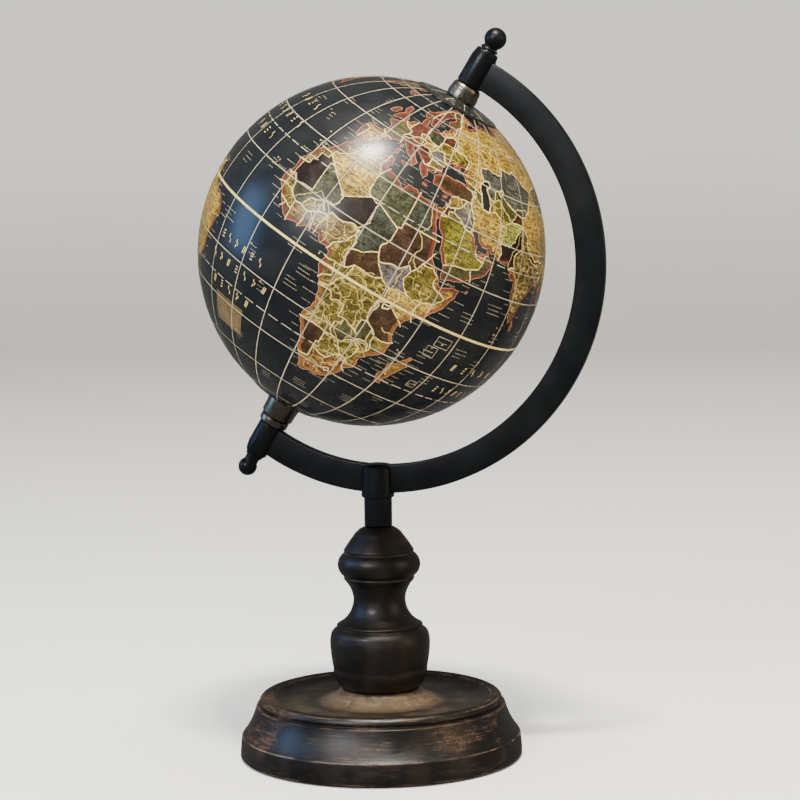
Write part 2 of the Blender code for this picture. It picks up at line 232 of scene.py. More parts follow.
def wood_material(name, worn_from, worn_to, scratch, edges, boss=False):
    """Near-black stained wood, rubbed through to brown in patches and along its turned edges.

    worn_from and worn_to are the noise levels where a patch starts and is full, edges are (height, width,
    share) of worn rings, and scratch is how strongly the lathe's fine rings show. With boss, the raised
    middle is rubbed to tan and the dish round it has an olive bloom.
    """
    made, tree, shader = new_material(name, specular_ior_level=0.4, coat_weight=0.05, coat_roughness=0.3)
    height, radius = height_and_radius(tree)
    grain = noise(tree, 90, 6, 0.6, (1.0, 1.0, 0.22), 0.6)
    fine = noise(tree, 420, 5, 0.65, (0.28, 0.28, 5.0))
    patch = noise(tree, 46, 5, 0.62, (1.0, 1.0, 2.4), 0.4)
    speck = noise(tree, 900, 3, 0.7)
    base = mixed(tree, between(tree, grain, 0.42, 0.66), WOOD_BLACK, WOOD_DARK)
    scratched = times(tree, between(tree, fine, 0.5, 0.68), scratch)
    spread = plus(tree, patch, times(tree, scratched, 0.12))
    wear = between(tree, spread, worn_from, worn_to)
    wear = times(tree, wear, between(tree, fine, 0.36, 0.62, 0.25, 1.0))
    if boss:
        wear = times(tree, wear, between(tree, height, 7.0, 9.2, 0.4, 1.0))
    wear = times(tree, wear, between(tree, speck, 0.40, 0.56, 0.35, 1.0))
    colour = mixed(tree, wear, base, WOOD_WORN)
    broken = between(tree, noise(tree, 150, 4, 0.6), 0.40, 0.60)
    for level, width, share in edges:
        rim = times(tree, ring_at(tree, height, level, width), broken)
        colour = mixed(tree, times(tree, rim, share), colour, WOOD_PALE)
    if boss:
        on_boss = between(tree, radius, 25.5, 18.5)
        rubbed = between(tree, noise(tree, 300, 6, 0.7, (1, 1, 1), 0.4), 0.30, 0.72, 0.30, 0.85)
        rubbed = times(tree, on_boss, times(tree, rubbed, 0.9))
        colour = mixed(tree, rubbed, colour, BOSS_TAN)
        dish = times(tree, ring_at(tree, radius, 31.0, 9.0), ring_at(tree, height, 20.2, 1.6))
        smudge = between(tree, noise(tree, 70, 5, 0.6, (1, 1, 1), 0.8), 0.4, 0.7, 0.1, 0.8)
        colour = mixed(tree, times(tree, dish, smudge), colour, DISH_OLIVE)
    colour = mixed(tree, between(tree, speck, 0.64, 0.76, 0.0, 0.35), colour, WOOD_WORN)
    uneven = plus(tree, patch, times(tree, fine, 0.6))
    wire(shader, base_color=colour, roughness=between(tree, uneven, 0.55, 1.1, 0.30, 0.60))
    relief = plus(tree, times(tree, fine, 0.7), times(tree, grain, 0.6))
    add_bump(tree, shader, relief, 0.35, 0.00025)
    return made


def metal_material(name, colour, rubbed, roughness, metallic, grain_scale, relief):
    """A metal or paint on metal with a fine mottled surface, rubbed lighter in places."""
    made, tree, shader = new_material(name, metallic=metallic, specular_ior_level=0.22)
    cloud = noise(tree, 60, 5, 0.6)
    speck = noise(tree, grain_scale, 4, 0.6)
    both = plus(tree, times(tree, cloud, 0.6), times(tree, speck, 0.4))
    tone = mixed(tree, between(tree, both, 0.45, 0.7), colour, rubbed)
    rough = between(tree, both, 0.35, 0.7, roughness * 0.8, roughness * 1.3)
    wire(shader, base_color=tone, roughness=rough)
    add_bump(tree, shader, speck, relief, 0.0001)
    return made


def pulp_material(name, grain, levels, dark, pale, bump, **sockets):
    """Felt or board, whose one fine noise gives both its colour and its relief."""
    made, tree, shader = new_material(name, **sockets)
    fibre = noise(tree, *grain)
    colour = mixed(tree, between(tree, fibre, *levels), dark, pale)
    wire(shader, base_color=colour)
    add_bump(tree, shader, fibre, *bump)
    return made


def felt_material():
    grain = (2600, 4, 0.7, (1, 1, 1), 2.0)
    dark, pale = (0.008, 0.011, 0.009), (0.035, 0.042, 0.036)
    sockets = {"roughness": 0.95, "sheen_weight": 0.4, "sheen_roughness": 0.6}
    return pulp_material("felt_fibres", grain, (0.35, 0.7), dark, pale, (0.8, 0.0003), **sockets)


def board_material():
    dark, pale = (0.30, 0.22, 0.14), (0.46, 0.36, 0.24)
    return pulp_material("board_pulp", (800, 5, 0.7), (0.3, 0.7), dark, pale, (0.5, 0.0002), roughness=0.85)


# Meshes


def arc_between(start, end, sagitta, steps):
    """The points after start up to end, on an arc that bulges by sagitta to the left of the way there."""
    chord = Vector(end) - Vector(start)
    half = chord.length / 2
    radius = (half**2 + sagitta**2) / (2 * abs(sagitta))
    left = Vector((-chord.y, chord.x)).normalized()
    side = math.copysign(1.0, sagitta)
    centre = Vector(start) + chord / 2 - left * side * (radius - abs(sagitta))
    sweep = 2 * math.asin(min(1.0, half / radius))
    spoke = Vector(start) - centre
    points = []
    for step in range(1, steps + 1):
        turn = -side * sweep * step / steps
        x = spoke.x * math.cos(turn) - spoke.y * math.sin(turn)
        y = spoke.x * math.sin(turn) + spoke.y * math.cos(turn)
        points.append((centre.x + x, centre.y + y))
    return points


def outline(*stretches):
    """A turned outline from (radius, height) corners.

    A third value is the sagitta of the stretch that ends there.
    """
    points = []
    for corner in stretches:
        if len(corner) == 2:
            points.append(corner)
        else:
            points += arc_between(points[-1], corner[:2], corner[2], OUTLINE_STEPS)
    return points


def below(points):
    """The same outline on the other side of the globe."""
    return [(radius, -height) for radius, height in reversed(points)]


def finish_piece(name, mesh, material, body, nodes=()):
    """The mesh as a piece that rides on the body and stands for the CAD nodes."""
    piece = bpy.data.objects.new(name, mesh)
    bpy.context.scene.collection.objects.link(piece)
    mesh.materials.append(material)
    if nodes:
        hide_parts(*nodes)
    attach(piece, body)
    return piece


def spin_round(shape, profile, steps):
    """Spins the profile once round the vertical axis."""
    axis = {"cent": (0, 0, 0), "axis": (0, 0, 1)}
    bmesh.ops.spin(shape, geom=profile, angle=2 * math.pi, steps=steps, **axis)


def turned(name, points, material, body, frame_matrix=None, steps=160, closed=True, edge=0.12):
    """A turned piece with rounded edges, which replaces the node that it is named after.

    A closed outline leaves a bore, and an open one starts and ends on the axis.
    """
    shape = bmesh.new()
    corners = [shape.verts.new((radius * MM, 0.0, height * MM)) for radius, height in points]
    links = [shape.edges.new(pair) for pair in zip(corners, corners[1:])]
    if closed:
        links.append(shape.edges.new((corners[-1], corners[0])))
    spin_round(shape, corners + links, steps)
    bmesh.ops.remove_doubles(shape, verts=shape.verts, dist=1e-7)
    bmesh.ops.recalc_face_normals(shape, faces=shape.faces)
    if frame_matrix:
        shape.transform(frame_matrix)
    mesh = bpy.data.meshes.new(name)
    shape.to_mesh(mesh)
    shape.free()
    piece = finish_piece(name, mesh, material, body, (name.removesuffix("_fine"),))
    soften(piece, edge)
    return piece


def soften(piece, edge):
    """Rounds a piece's sharp edges and shades the rest smooth."""
    bevel = piece.modifiers.new("edge", "BEVEL")
    bevel.width = edge * MM
    bevel.segments = 2
    bevel.limit_method = "ANGLE"
    bevel.angle_limit = math.radians(28)
    bevel.use_clamp_overlap = True
    piece.data.shade_smooth()
    piece.data.set_sharp_from_angle(angle=SHARP_ANGLE)


# The stand


def base_outline():
    lip_z = BOSS_Z - 5.4
    return outline(
        (TIE_BORE_R, BOSS_Z),
        (14.4, BOSS_Z),
        (22.8, FLOOR_Z, -0.5),
        (36.0, FLOOR_Z),
        (40.6, lip_z + 3.3, -0.4),
        (43.8, lip_z + 3.0, 0.65),
        (44.5, lip_z + 1.5, 0.15),
        (44.1, lip_z + 0.6),
        (45.6, lip_z),
        (BASE_R - 1.0, 8.6, -0.6),
        (BASE_R - 0.5, 7.7, 0.1),
        (BASE_R, 2.8),
        (BASE_R, GAP + 0.5),
        (BASE_R - 0.5, GAP),
        (FELT_R + GAP, GAP),
        (FELT_R + GAP, 1.5),
        (9.0, 1.5),
        (9.0, 12.0),
        (TIE_BORE_R, 12.0),
    )


def spindle_outline():
    foot_z = BOSS_Z + GAP
    return outline(
        (TIE_BORE_R, SPINDLE_TOP_Z),
        (5.5, SPINDLE_TOP_Z),
        (9.2, 80.7, 0.4),
        (12.7, 75.7, 0.1),
        (12.9, 75.3),
        (12.5, 74.9),
        (13.1, 74.2),
        (13.3, 66.3, BEAD_R - 13.2),
        (12.7, 65.8),
        (13.0, 65.3),
        (12.6, 64.5),
        (NECK_R, 57.6, -0.65),
        (15.6, 48.3, -1.65),
        (15.8, 47.9),
        (15.4, 47.3),
        (16.2, 46.7),
        (17.9, 44.7, 0.3),
        (BULB_R, 42.6),
        (17.2, 32.4, 0.3),
        (13.8, foot_z, 1.0),
        (TIE_BORE_R, foot_z),
    )


def post_outline():
    foot_z = SPINDLE_TOP_Z + GAP
    return outline(
        (0.0, POST_TOP_Z),
        (3.6, POST_TOP_Z - 0.3),
        (POST_HEAD_R, POST_TOP_Z - 1.9, 0.35),
        (POST_HEAD_R, POST_HEAD_Z + 0.4),
        (POST_R, POST_HEAD_Z),
        (POST_R, foot_z + 0.3),
        (POST_R - 0.3, foot_z),
        (TIE_BORE_R, foot_z),
        (TIE_BORE_R, POST_BORE_Z),
        (0.0, POST_BORE_Z + 1.0),
    )


def make_base():
    edges = ((8.3, 0.35, 0.55), (22.0, 0.4, 0.3), (18.9, 0.3, 0.25), (0.9, 0.4, 0.3))
    wood = wood_material("base_wood", 0.53, 0.72, 1.0, edges, boss=True)
    turned("base_disc_fine", base_outline(), wood, "stand", steps=220)


def make_spindle():
    edges = ((74.6, 0.4, 0.16), (65.4, 0.3, 0.12), (47.3, 0.45, 0.16))
    wood = wood_material("spindle_wood", 0.60, 0.80, 0.5, edges)
    turned("spindle_fine", spindle_outline(), wood, "stand")


def box_cutter(size, centre):
    """A box for a boolean to cut away, which is not a piece."""
    mesh = bpy.data.meshes.new("cutter")
    shape = bmesh.new()
    bmesh.ops.create_cube(shape, size=1.0)
    shape.transform(Matrix.Translation(Vector(centre) * MM) @ Matrix.Diagonal((*(Vector(size) * MM), 1.0)))
    shape.to_mesh(mesh)
    shape.free()
    return bpy.data.objects.new("cutter", mesh)


def make_post(paint):
    """The post, slotted for the arc. Its edges are rounded once the slot is cut."""
    post = turned("arc_post_fine", post_outline(), paint, "stand", closed=False, steps=72)
    post.modifiers.clear()
    slot_low = ARC_Z - ARC_OUTER_R - 0.1
    slot_high = POST_TOP_Z + 4.0
    size = (4 * POST_HEAD_R, ARC_THICK + 0.2, slot_high - slot_low)
    cutter = box_cutter(size, (0.0, 0.0, (slot_low + slot_high) / 2))
    bpy.context.scene.collection.objects.link(cutter)
    boolean = post.modifiers.new("slot", "BOOLEAN")
    boolean.object = cutter
    graph = bpy.context.evaluated_depsgraph_get()
    cut = bpy.data.meshes.new_from_object(post.evaluated_get(graph), depsgraph=graph)
    bpy.data.objects.remove(cutter, do_unlink=True)
    post.modifiers.clear()
    post.data = cut
    soften(post, 0.2)


def arc_end_angles():
    """The angles, seen from the arc's centre, where its band reaches the sleeves on the axle."""
    along = Vector((math.sin(AXIS_TILT), math.cos(AXIS_TILT)))
    offset = Vector((GLOBE_AT.x / MM - ARC_X, GLOBE_AT.z / MM - ARC_Z))
    middle_r = (ARC_INNER_R + ARC_OUTER_R) / 2
    reach = offset.dot(along)
    root = math.sqrt(reach**2 - offset.length_squared + middle_r**2)
    low, high = ((offset + along * d).to_tuple() for d in (-reach - root, -reach + root))
    inside_sleeve = 2.6 / middle_r
    return math.atan2(low[1], low[0]) + inside_sleeve, math.atan2(high[1], high[0]) - inside_sleeve


def make_arc(paint):
    """The flat band, a rectangle with rounded corners swept round the arc."""
    corner = 0.55
    half = ARC_THICK / 2
    section = []
    for centre_r, side, first in (
        (ARC_OUTER_R - corner, 1, 0),
        (ARC_INNER_R + corner, 1, 90),
        (ARC_INNER_R + corner, -1, 180),
        (ARC_OUTER_R - corner, -1, 270),
    ):
        for step in range(4):
            turn = math.radians(first + 30 * step)
            across = side * (half - corner) + corner * math.sin(turn)
            section.append((centre_r + corner * math.cos(turn), across))
    low, high = arc_end_angles()
    shape = bmesh.new()
    rings = []
    for step in range(ARC_STEPS + 1):
        angle = low + (high - low) * step / ARC_STEPS
        ring = [(r * math.cos(angle) + ARC_X, y, r * math.sin(angle) + ARC_Z) for r, y in section]
        rings.append([shape.verts.new(Vector(point) * MM) for point in ring])
    for first, second in zip(rings, rings[1:]):
        for i in range(len(section)):
            j = (i + 1) % len(section)
            shape.faces.new((first[i], first[j], second[j], second[i]))
    shape.faces.new(rings[0])
    shape.faces.new(reversed(rings[-1]))
    bmesh.ops.recalc_face_normals(shape, faces=shape.faces)
    mesh = bpy.data.meshes.new("meridian_arc_fine")
    shape.to_mesh(mesh)
    shape.free()
    mesh.shade_smooth()
    mesh.set_sharp_from_angle(angle=SHARP_ANGLE)
    finish_piece("meridian_arc_fine", mesh, paint, "stand", ("meridian_arc",))


def sleeve_outline(span, radius):
    """A sleeve on the axle, tapered at its outer end."""
    inner, outer = span
    return outline(
        (AXLE_BORE_R, outer),
        (radius - 0.9, outer),
        (radius - 0.6, outer - 0.3),
        (radius, outer - 3.4),
        (radius, inner + 0.3),
        (radius - 0.2, inner),
        (AXLE_BORE_R, inner),
    )


def finial_outline(ball, sleeve_end):
    """A ball on a short neck with a collar, bored from the collar's side."""
    centre, radius = ball
    neck_r = 2.6
    collar_low = sleeve_end + GAP
    collar_high = collar_low + 1.1
    neck_angle = math.asin(neck_r / radius)
    rings = 28
    points = []
    for ring in range(rings + 1):
        angle = (math.pi - neck_angle) * ring / rings
        points.append((radius * math.sin(angle), centre + radius * math.cos(angle)))
    points += [
        (neck_r, collar_high),
        (3.2, collar_high - 0.2),
        (3.3, collar_low + 0.3),
        (3.1, collar_low),
        (AXLE_BORE_R, collar_low),
        (AXLE_BORE_R, centre),
        (0.0, centre + 0.6),
    ]
    return points


def upper_ferrule_outline():
    end = FERRULE_UPPER_END
    return outline(
        (AXLE_BORE_R, end),
        (4.6, end),
        (5.4, end - 2.4, 0.3),
        (5.7, FERRULE_SEAT + 0.5),
        (5.6, FERRULE_SKIRT),
        (POLE_HOLE_R, FERRULE_SKIRT),
        (POLE_HOLE_R, FERRULE_SEAT + 0.8),
        (AXLE_BORE_R, FERRULE_SEAT + 0.8),
    )


def lower_ferrule_outline():
    end = FERRULE_LOWER_END
    return outline(
        (AXLE_BORE_R, end),
        (5.5, end),
        (6.05, end - 0.5, 0.1),
        (6.15, 66.6),
        (6.3, 65.9),
        (6.3, FERRULE_SKIRT),
        (POLE_HOLE_R, FERRULE_SKIRT),
        (POLE_HOLE_R, FERRULE_SEAT + 0.8),
        (AXLE_BORE_R, FERRULE_SEAT + 0.8),
    )


def spacer_outline():
    inner, outer = SPACER
    return outline(
        (AXLE_BORE_R, outer),
        (SPACER_R - 0.5, outer),
        (SPACER_R, outer - 0.6, 0.1),
        (SPACER_R, inner + 0.5),
        (SPACER_R - 0.4, inner),
        (AXLE_BORE_R, inner),
    )


def make_axle_pieces(paint, nickel):
    """The turned pieces on the axle. Those below the globe are made above it and mirrored."""
    upper_sleeve = sleeve_outline(SLEEVE_UPPER, SLEEVE_UPPER_R)
    lower_sleeve = below(sleeve_outline(SLEEVE_LOWER, SLEEVE_LOWER_R))
    upper_finial = finial_outline(BALL_UPPER, SLEEVE_UPPER[1])
    lower_finial = below(finial_outline(BALL_LOWER, SLEEVE_LOWER[1]))
    rows = (
        ("upper_sleeve", upper_sleeve, paint, "black_metal", "stand", True),
        ("lower_sleeve", lower_sleeve, paint, "black_metal", "stand", True),
        ("upper_finial", upper_finial, paint, "black_metal", "stand", False),
        ("lower_finial", lower_finial, paint, "black_metal", "stand", False),
        ("upper_ferrule", upper_ferrule_outline(), nickel, "nickel", "globe", True),
        ("lower_ferrule", below(lower_ferrule_outline()), nickel, "nickel", "globe", True),
        ("lower_spacer_ring", below(spacer_outline()), nickel, "nickel", "stand", True),
    )
    for name, points, material, slot, body, closed in rows:
        turned(name + "_fine", points, material, body, AXLE_FRAME, steps=72, closed=closed, edge=0.15)


def dress_hidden_nodes(paint):
    """Materials on the CAD nodes that stay as they are, inside or underneath."""
    steel = metal_material("steel_turned", (0.36, 0.36, 0.37), (0.5, 0.5, 0.5), 0.35, 1.0, 1500, 0.2)
    nylon = metal_material("nylon_moulded", (0.62, 0.60, 0.55), (0.7, 0.68, 0.63), 0.5, 0.0, 900, 0.2)
    dressing = {
        "axle_rod": steel,
        "tie_rod": steel,
        "base_nut": steel,
        "base_washer": steel,
        "post_cross_pin": paint,
        "north_pole_bushing": nylon,
        "south_pole_bushing": nylon,
        "equator_joining_ring": board_material(),
        "base_felt_pad": felt_material(),
    }
    for name, material in dressing.items():
        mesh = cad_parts[name].data
        mesh.materials.clear()
        mesh.materials.append(material)


# The map's drawing, in degrees: a path is longitude and latitude in turn, east and north positive.

COASTS = {
    "africa": """-6 36 -2 35 3 37 10 37.3 11 35 10 34 13 33 15.5 32.3 19 30.3 20 32.5 23 32.6 25 31.7 29
        31 32 31.3 32.4 30 34 27 35.5 24 37 21 37.3 19 39 16 41 14.8 43 12.4 43.2 11.5 44.5 10.4 47
        11.2 51.2 11.9 50.8 9.5 49 6 46 2.5 42.5 -0.5 41 -2 39.5 -4 39 -6.5 39.6 -9 40.6 -11 40.7
        -15 38 -17.2 35 -19.8 35.4 -22 35.3 -24 32.9 -25.8 32.7 -28 31 -30 28.5 -32.8 25.8 -34 22
        -34.1 20 -34.8 18.4 -34.1 18.2 -32 17 -29.5 15.2 -27 14.5 -23 13.3 -20 11.8 -17.3 12.3 -14.5
        13.8 -11 13 -8.5 12.2 -6 11.5 -4.5 9 -1 9.6 1 9.8 3.5 8.7 4.5 6 4.3 4.6 6.2 2 6.3 -2 4.9 -4
        5.2 -7.6 4.4 -11 6.8 -13.2 8.9 -15 11 -16.8 12.5 -17.4 14.7 -16.3 17 -16.5 19.5 -17 21 -15.5
        24 -13.5 27.3 -11 28.8 -9.7 30.5 -8.7 33 -6.8 34.2""",
    "eurasia": """34.2 31.3 32.8 31.1 32.9 29.8 34.2 27.8 35 29.5 35 28 37 25 39 21.5 41 18 42.7 15.5
        43.4 12.7 45 12.9 49 14.2 52 15.6 55 17.3 57.8 19 59.8 22.4 58.5 23.7 56.4 26.2 56 24.9 54
        24.2 51.6 24.2 51.4 26 50.2 25.8 48.5 28.5 48 30 50 30 51.5 27.9 54 26.6 57 27 58 25.6 61.5
        25.1 66.6 25.4 68.5 23.2 70.3 22.8 69 22 70.5 20.8 72.6 21 72.8 18.5 74 14.5 76 10.5 77.5 8
        78.3 9 80 12 80.3 15.5 83 17.5 87 20.8 89 21.7 91.8 22.5 94 18 94.5 16 97.5 16.8 98.5 12
        98.3 8 100.5 6 101.3 3 103.6 1.4 103.4 4.5 100.5 8 99.5 11 100.5 13.4 102.5 12 105 8.7 107
        10.5 109.2 12.5 108.5 15.5 106 19 108 21.5 110.3 21 113.8 22.3 117 23.8 120 27 122 30.5
        119.5 35 122.3 37 118 38.8 121.5 40.8 121.3 39 124.5 40 126 37 126.5 34.5 129.3 35.5 129 38
        127.5 39.8 130.5 42.5 135.5 44 140.3 48.5 141.3 53 137 54 143 59.3 152 59 156 61.5 163.5
        62.3 160 58 156 56 156.5 51.2 160.5 54 163 58 170 60 178 63 180 65 180 69 170 69.8 160 69.7
        150 71.5 140 72.7 130 71 127 73.5 113 73.8 104 77.6 90 75.6 80 73.5 82 71 78 72 74 68 72 73
        68.5 71.5 68 68.3 60 68.8 54 68.5 46 68 44 66 40 64.8 37 63.8 34.8 64.5 35 66.3 41 66.5 38
        68.5 31 70 25 71 19 69.8 14 67 10 63.5 5 61.5 5.5 59 8 58 10.6 59.3 12 57 13 55.4 16.3 56.3
        17.5 60.3 17.5 62 21.5 64.5 24 65.8 25.4 65 21.3 62.5 21.5 60.8 25 60.2 30 60 24 59.3 24 58
        21.5 57.3 21 55 18.5 54.6 14 54 11 54 10.5 57.5 8.2 57 8.5 54 5 53.3 2.5 51 -1.5 49.7 -4.7
        48.4 -1.2 46 -1.5 43.5 -8 43.7 -9.2 42.5 -9.4 38.8 -8.8 37 -6.3 36.8 -5.4 36.1 -2 36.8 0
        38.8 3.2 42 6 43.1 8.8 44.4 10.5 43 12.5 41.5 15.7 40 16 38 18.4 40.2 16 41.6 13.6 43.6 12.4
        45.3 13.8 45.3 16 43.5 19.4 41.8 19.5 40 21.5 37.5 23 36.5 24 38 22.8 40.3 26 40.8 28.8 40.9
        28.6 41.4 28 43.5 29.7 45 31.5 46.5 33 46 33.5 44.6 36.3 45.2 35.2 46.3 39 47 37.4 45.2 38
        44.5 41.5 42 41 41.2 36 41.7 32 41.6 29.6 41.3 29.4 40.7 26.3 39.5 27.3 37 30.6 36.7 34 36.2
        36 36.6 35.9 34.5 34.8 32""",
    "north_america": """-168 65.5 -162 67 -166 68.8 -156 71.2 -141 69.7 -128 70 -115 68.3 -100 68 -94 72
        -86 69.5 -82 67 -94 61 -92.5 57.2 -82.5 55 -80 51.5 -79 54.5 -77 60 -73 62 -65 59 -60 54 -56
        52 -66 50 -65 47 -61 46 -66 43.6 -70.5 42.5 -74 40.5 -76 36 -81.3 31.5 -80.1 26 -81.5 25.5
        -84 30 -90 29.3 -97 27.5 -97.5 22 -95 18.5 -91 18.5 -90.3 21.2 -87 21.3 -88.5 16 -83.5 15
        -83.5 10.5 -80 9.2 -77.5 9 -77.9 7.6 -80 7.5 -85.5 10 -88 13 -94.5 16.2 -105 19.8 -109 25.5
        -112.7 31 -114.5 31 -109.5 23 -115 28 -117.2 32.6 -121 35.5 -124.3 40.5 -124 47 -130 54 -140
        60 -151 60 -158 57 -163 55 -158 58.7 -165.5 61.5 -161 64.3""",
    "south_america": """-77.5 8.5 -75 11 -71.5 12.3 -64 10.5 -60 8.5 -52 5 -50 0 -44 -2.7 -37 -4.8 -34.8
        -7.5 -37 -11 -39 -15 -39.5 -19 -41 -22 -46 -24 -48.6 -27 -53 -33.5 -58 -34.3 -57 -37 -62 -39
        -65 -41 -65.5 -45 -69 -51 -68.5 -54.8 -74 -51.5 -75.5 -46 -73 -40 -71.5 -30 -70.3 -20 -76
        -14 -81 -6 -80 -2.5 -77.5 4 -77.9 7.2""",
    "australia": """113.7 -22.5 116.5 -20.7 121.5 -18.7 125 -14.8 129.5 -15 131 -12 135.8 -12 135.8 -15
        139.5 -17.5 141.6 -14 142.5 -10.8 144 -14.4 146.3 -18.9 149.5 -22 153 -25.5 153.5 -29 150.3
        -35.5 147 -38.3 143.5 -38.8 140 -37.2 138 -34 135.5 -34.8 131 -31.5 125 -32.7 119 -34.5
        115.2 -34.2 115.7 -31.5 113.5 -26""",
    "antarctica": """-180 -78 -160 -77 -150 -77 -120 -74 -100 -73 -75 -73 -60 -64 -62 -72 -60 -76 -35
        -78 -15 -72 10 -70 40 -69 55 -66.5 75 -69.5 90 -66.5 110 -66 135 -66 150 -69 165 -72 165 -78
        180 -78 180 -84 -180 -84""",
    "greenland": "-45 60 -40 64 -24 69 -20 74 -20 79 -35 80 -60 80 -70 77 -58 75 -53 70 -52 65",
    "madagascar": """49.3 -12 50.4 -15.8 49.7 -16 47 -25 44.7 -25.3 43.4 -22 44.4 -19.5 44 -17 46.5
        -15.7 48 -13.6""",
    "britain": "-5.5 50.1 1 51 1.6 52.7 -1.5 55 -2 57.6 -5 58.6 -5.5 56 -3 54.5 -4.5 53 -5.2 51.7",
    "ireland": "-10 51.8 -6.3 52.2 -6 54.3 -8 55.2 -9.8 53.8",
    "iceland": "-22 64 -18.5 63.4 -14 65 -16 66.4 -22.5 66.3 -24 65.4",
    "sicily": "12.5 38 15.6 38.2 15.1 36.7",
    "sardinia": "8.3 39 9.7 39.3 9.5 41.1 8.3 40.8",
    "corsica": "8.7 41.5 9.5 42 9.4 43 8.7 42.5",
    "crete": "23.6 35.5 26.2 35.4 25 34.9",
    "cyprus": "32.4 34.8 34.4 35.6 33.8 34.8",
    "socotra": "53.3 12.6 54.5 12.6 54 12.2",
    "ceylon": "80 9.6 81.8 7.5 81 6.2 80 6.2 79.8 8.2",
    "arctic_isle": "53 71 60 75.5 67 77 58 72",
    "east_cape": "-180 65 -170 66 -175 67.5 -180 69",
    "canada_isle": "-64 62 -66 67 -80 73 -88 73.5 -76 70 -73 65",
    "newfoundland": "-59 47.8 -53 46.8 -54 49.5 -57 51",
    "cuba": "-84.8 22 -80 23 -75 20.7 -77.5 20 -82 22.4",
    "hispaniola": "-74.3 18.5 -73 19.9 -68.5 18.6 -71.5 17.8",
    "japan": "130.5 31.5 135.5 33.8 140.5 35.3 141.8 39.5 140.5 41.3 139.8 38.5 136.8 36.8 132 34.8",
    "hokkaido": "140.3 42 143.3 42.2 145.3 43.5 141.8 45.3",
    "sakhalin": "142.2 46.5 143.5 49.2 143 54 142 51",
    "taiwan": "120.5 22.3 121.8 24.8 120.2 23.8",
    "luzon": "120.5 14 124 12.8 122 18.4 120.5 18",
    "mindanao": "122.3 7 126 6.3 126 9.5 123.5 8.6",
    "borneo": "109.2 1.5 110 -2 114.5 -4 116.3 -3 118.8 1 117.7 3.5 119 5.3 116.8 6.8 113 3.2",
    "sumatra": "95.4 5.5 98 4 103.5 0 106 -3 105.5 -5.8 102 -4 98.7 0.5",
    "java": "105.3 -6.7 108.5 -6.5 114.3 -7.6 114 -8.8 108 -7.8",
    "sulawesi": "119.5 -5.5 120.5 -3 121.5 -4.8 122.5 -4.5 121.5 -1 125 1.5 120.2 1 119.3 -3",
    "new_guinea": """131 -1 134 -0.8 137.8 -1.6 144 -3.8 147.5 -6 150.6 -10.3 146 -8.8 143 -9.2 138 -8
        138 -5.8 133 -4 134 -2.5""",
    "tasmania": "144.8 -40.9 148.2 -41 147 -43.5",
    "north_isle": "173 -34.8 175.5 -37 178.3 -37.9 176 -41.2 174 -39.5",
    "south_isle": "173 -40.8 174 -41.8 171 -45.5 168.5 -46.6 166.5 -45.8 171 -42.5",
}
LAKES = {
    "caspian": """47.5 45 49 46.4 51.5 46.8 53 45.2 51 44.4 52.8 42 54 39.5 53.8 37 50 37.4 49 40.2 47.6
        43""",
    "aral": "58.5 44.5 60 46.5 61.5 45.5 59.5 43.8",
    "victoria": "31.8 -0.5 33.8 0.2 33.8 -2 32 -2.5",
    "chad_lake": "13.6 13.2 14.6 13.4 14.4 12.8",
    "baikal": "104 51.6 110 54.8 109 53",
    "superior": "-92 46.7 -88 48.5 -84.5 46.8",
    "michigan": "-87.5 42 -86.3 42.5 -85.5 45.5 -87.5 44.5",
    "huron": "-84 45.8 -80.2 45.2 -82 43.3",
}

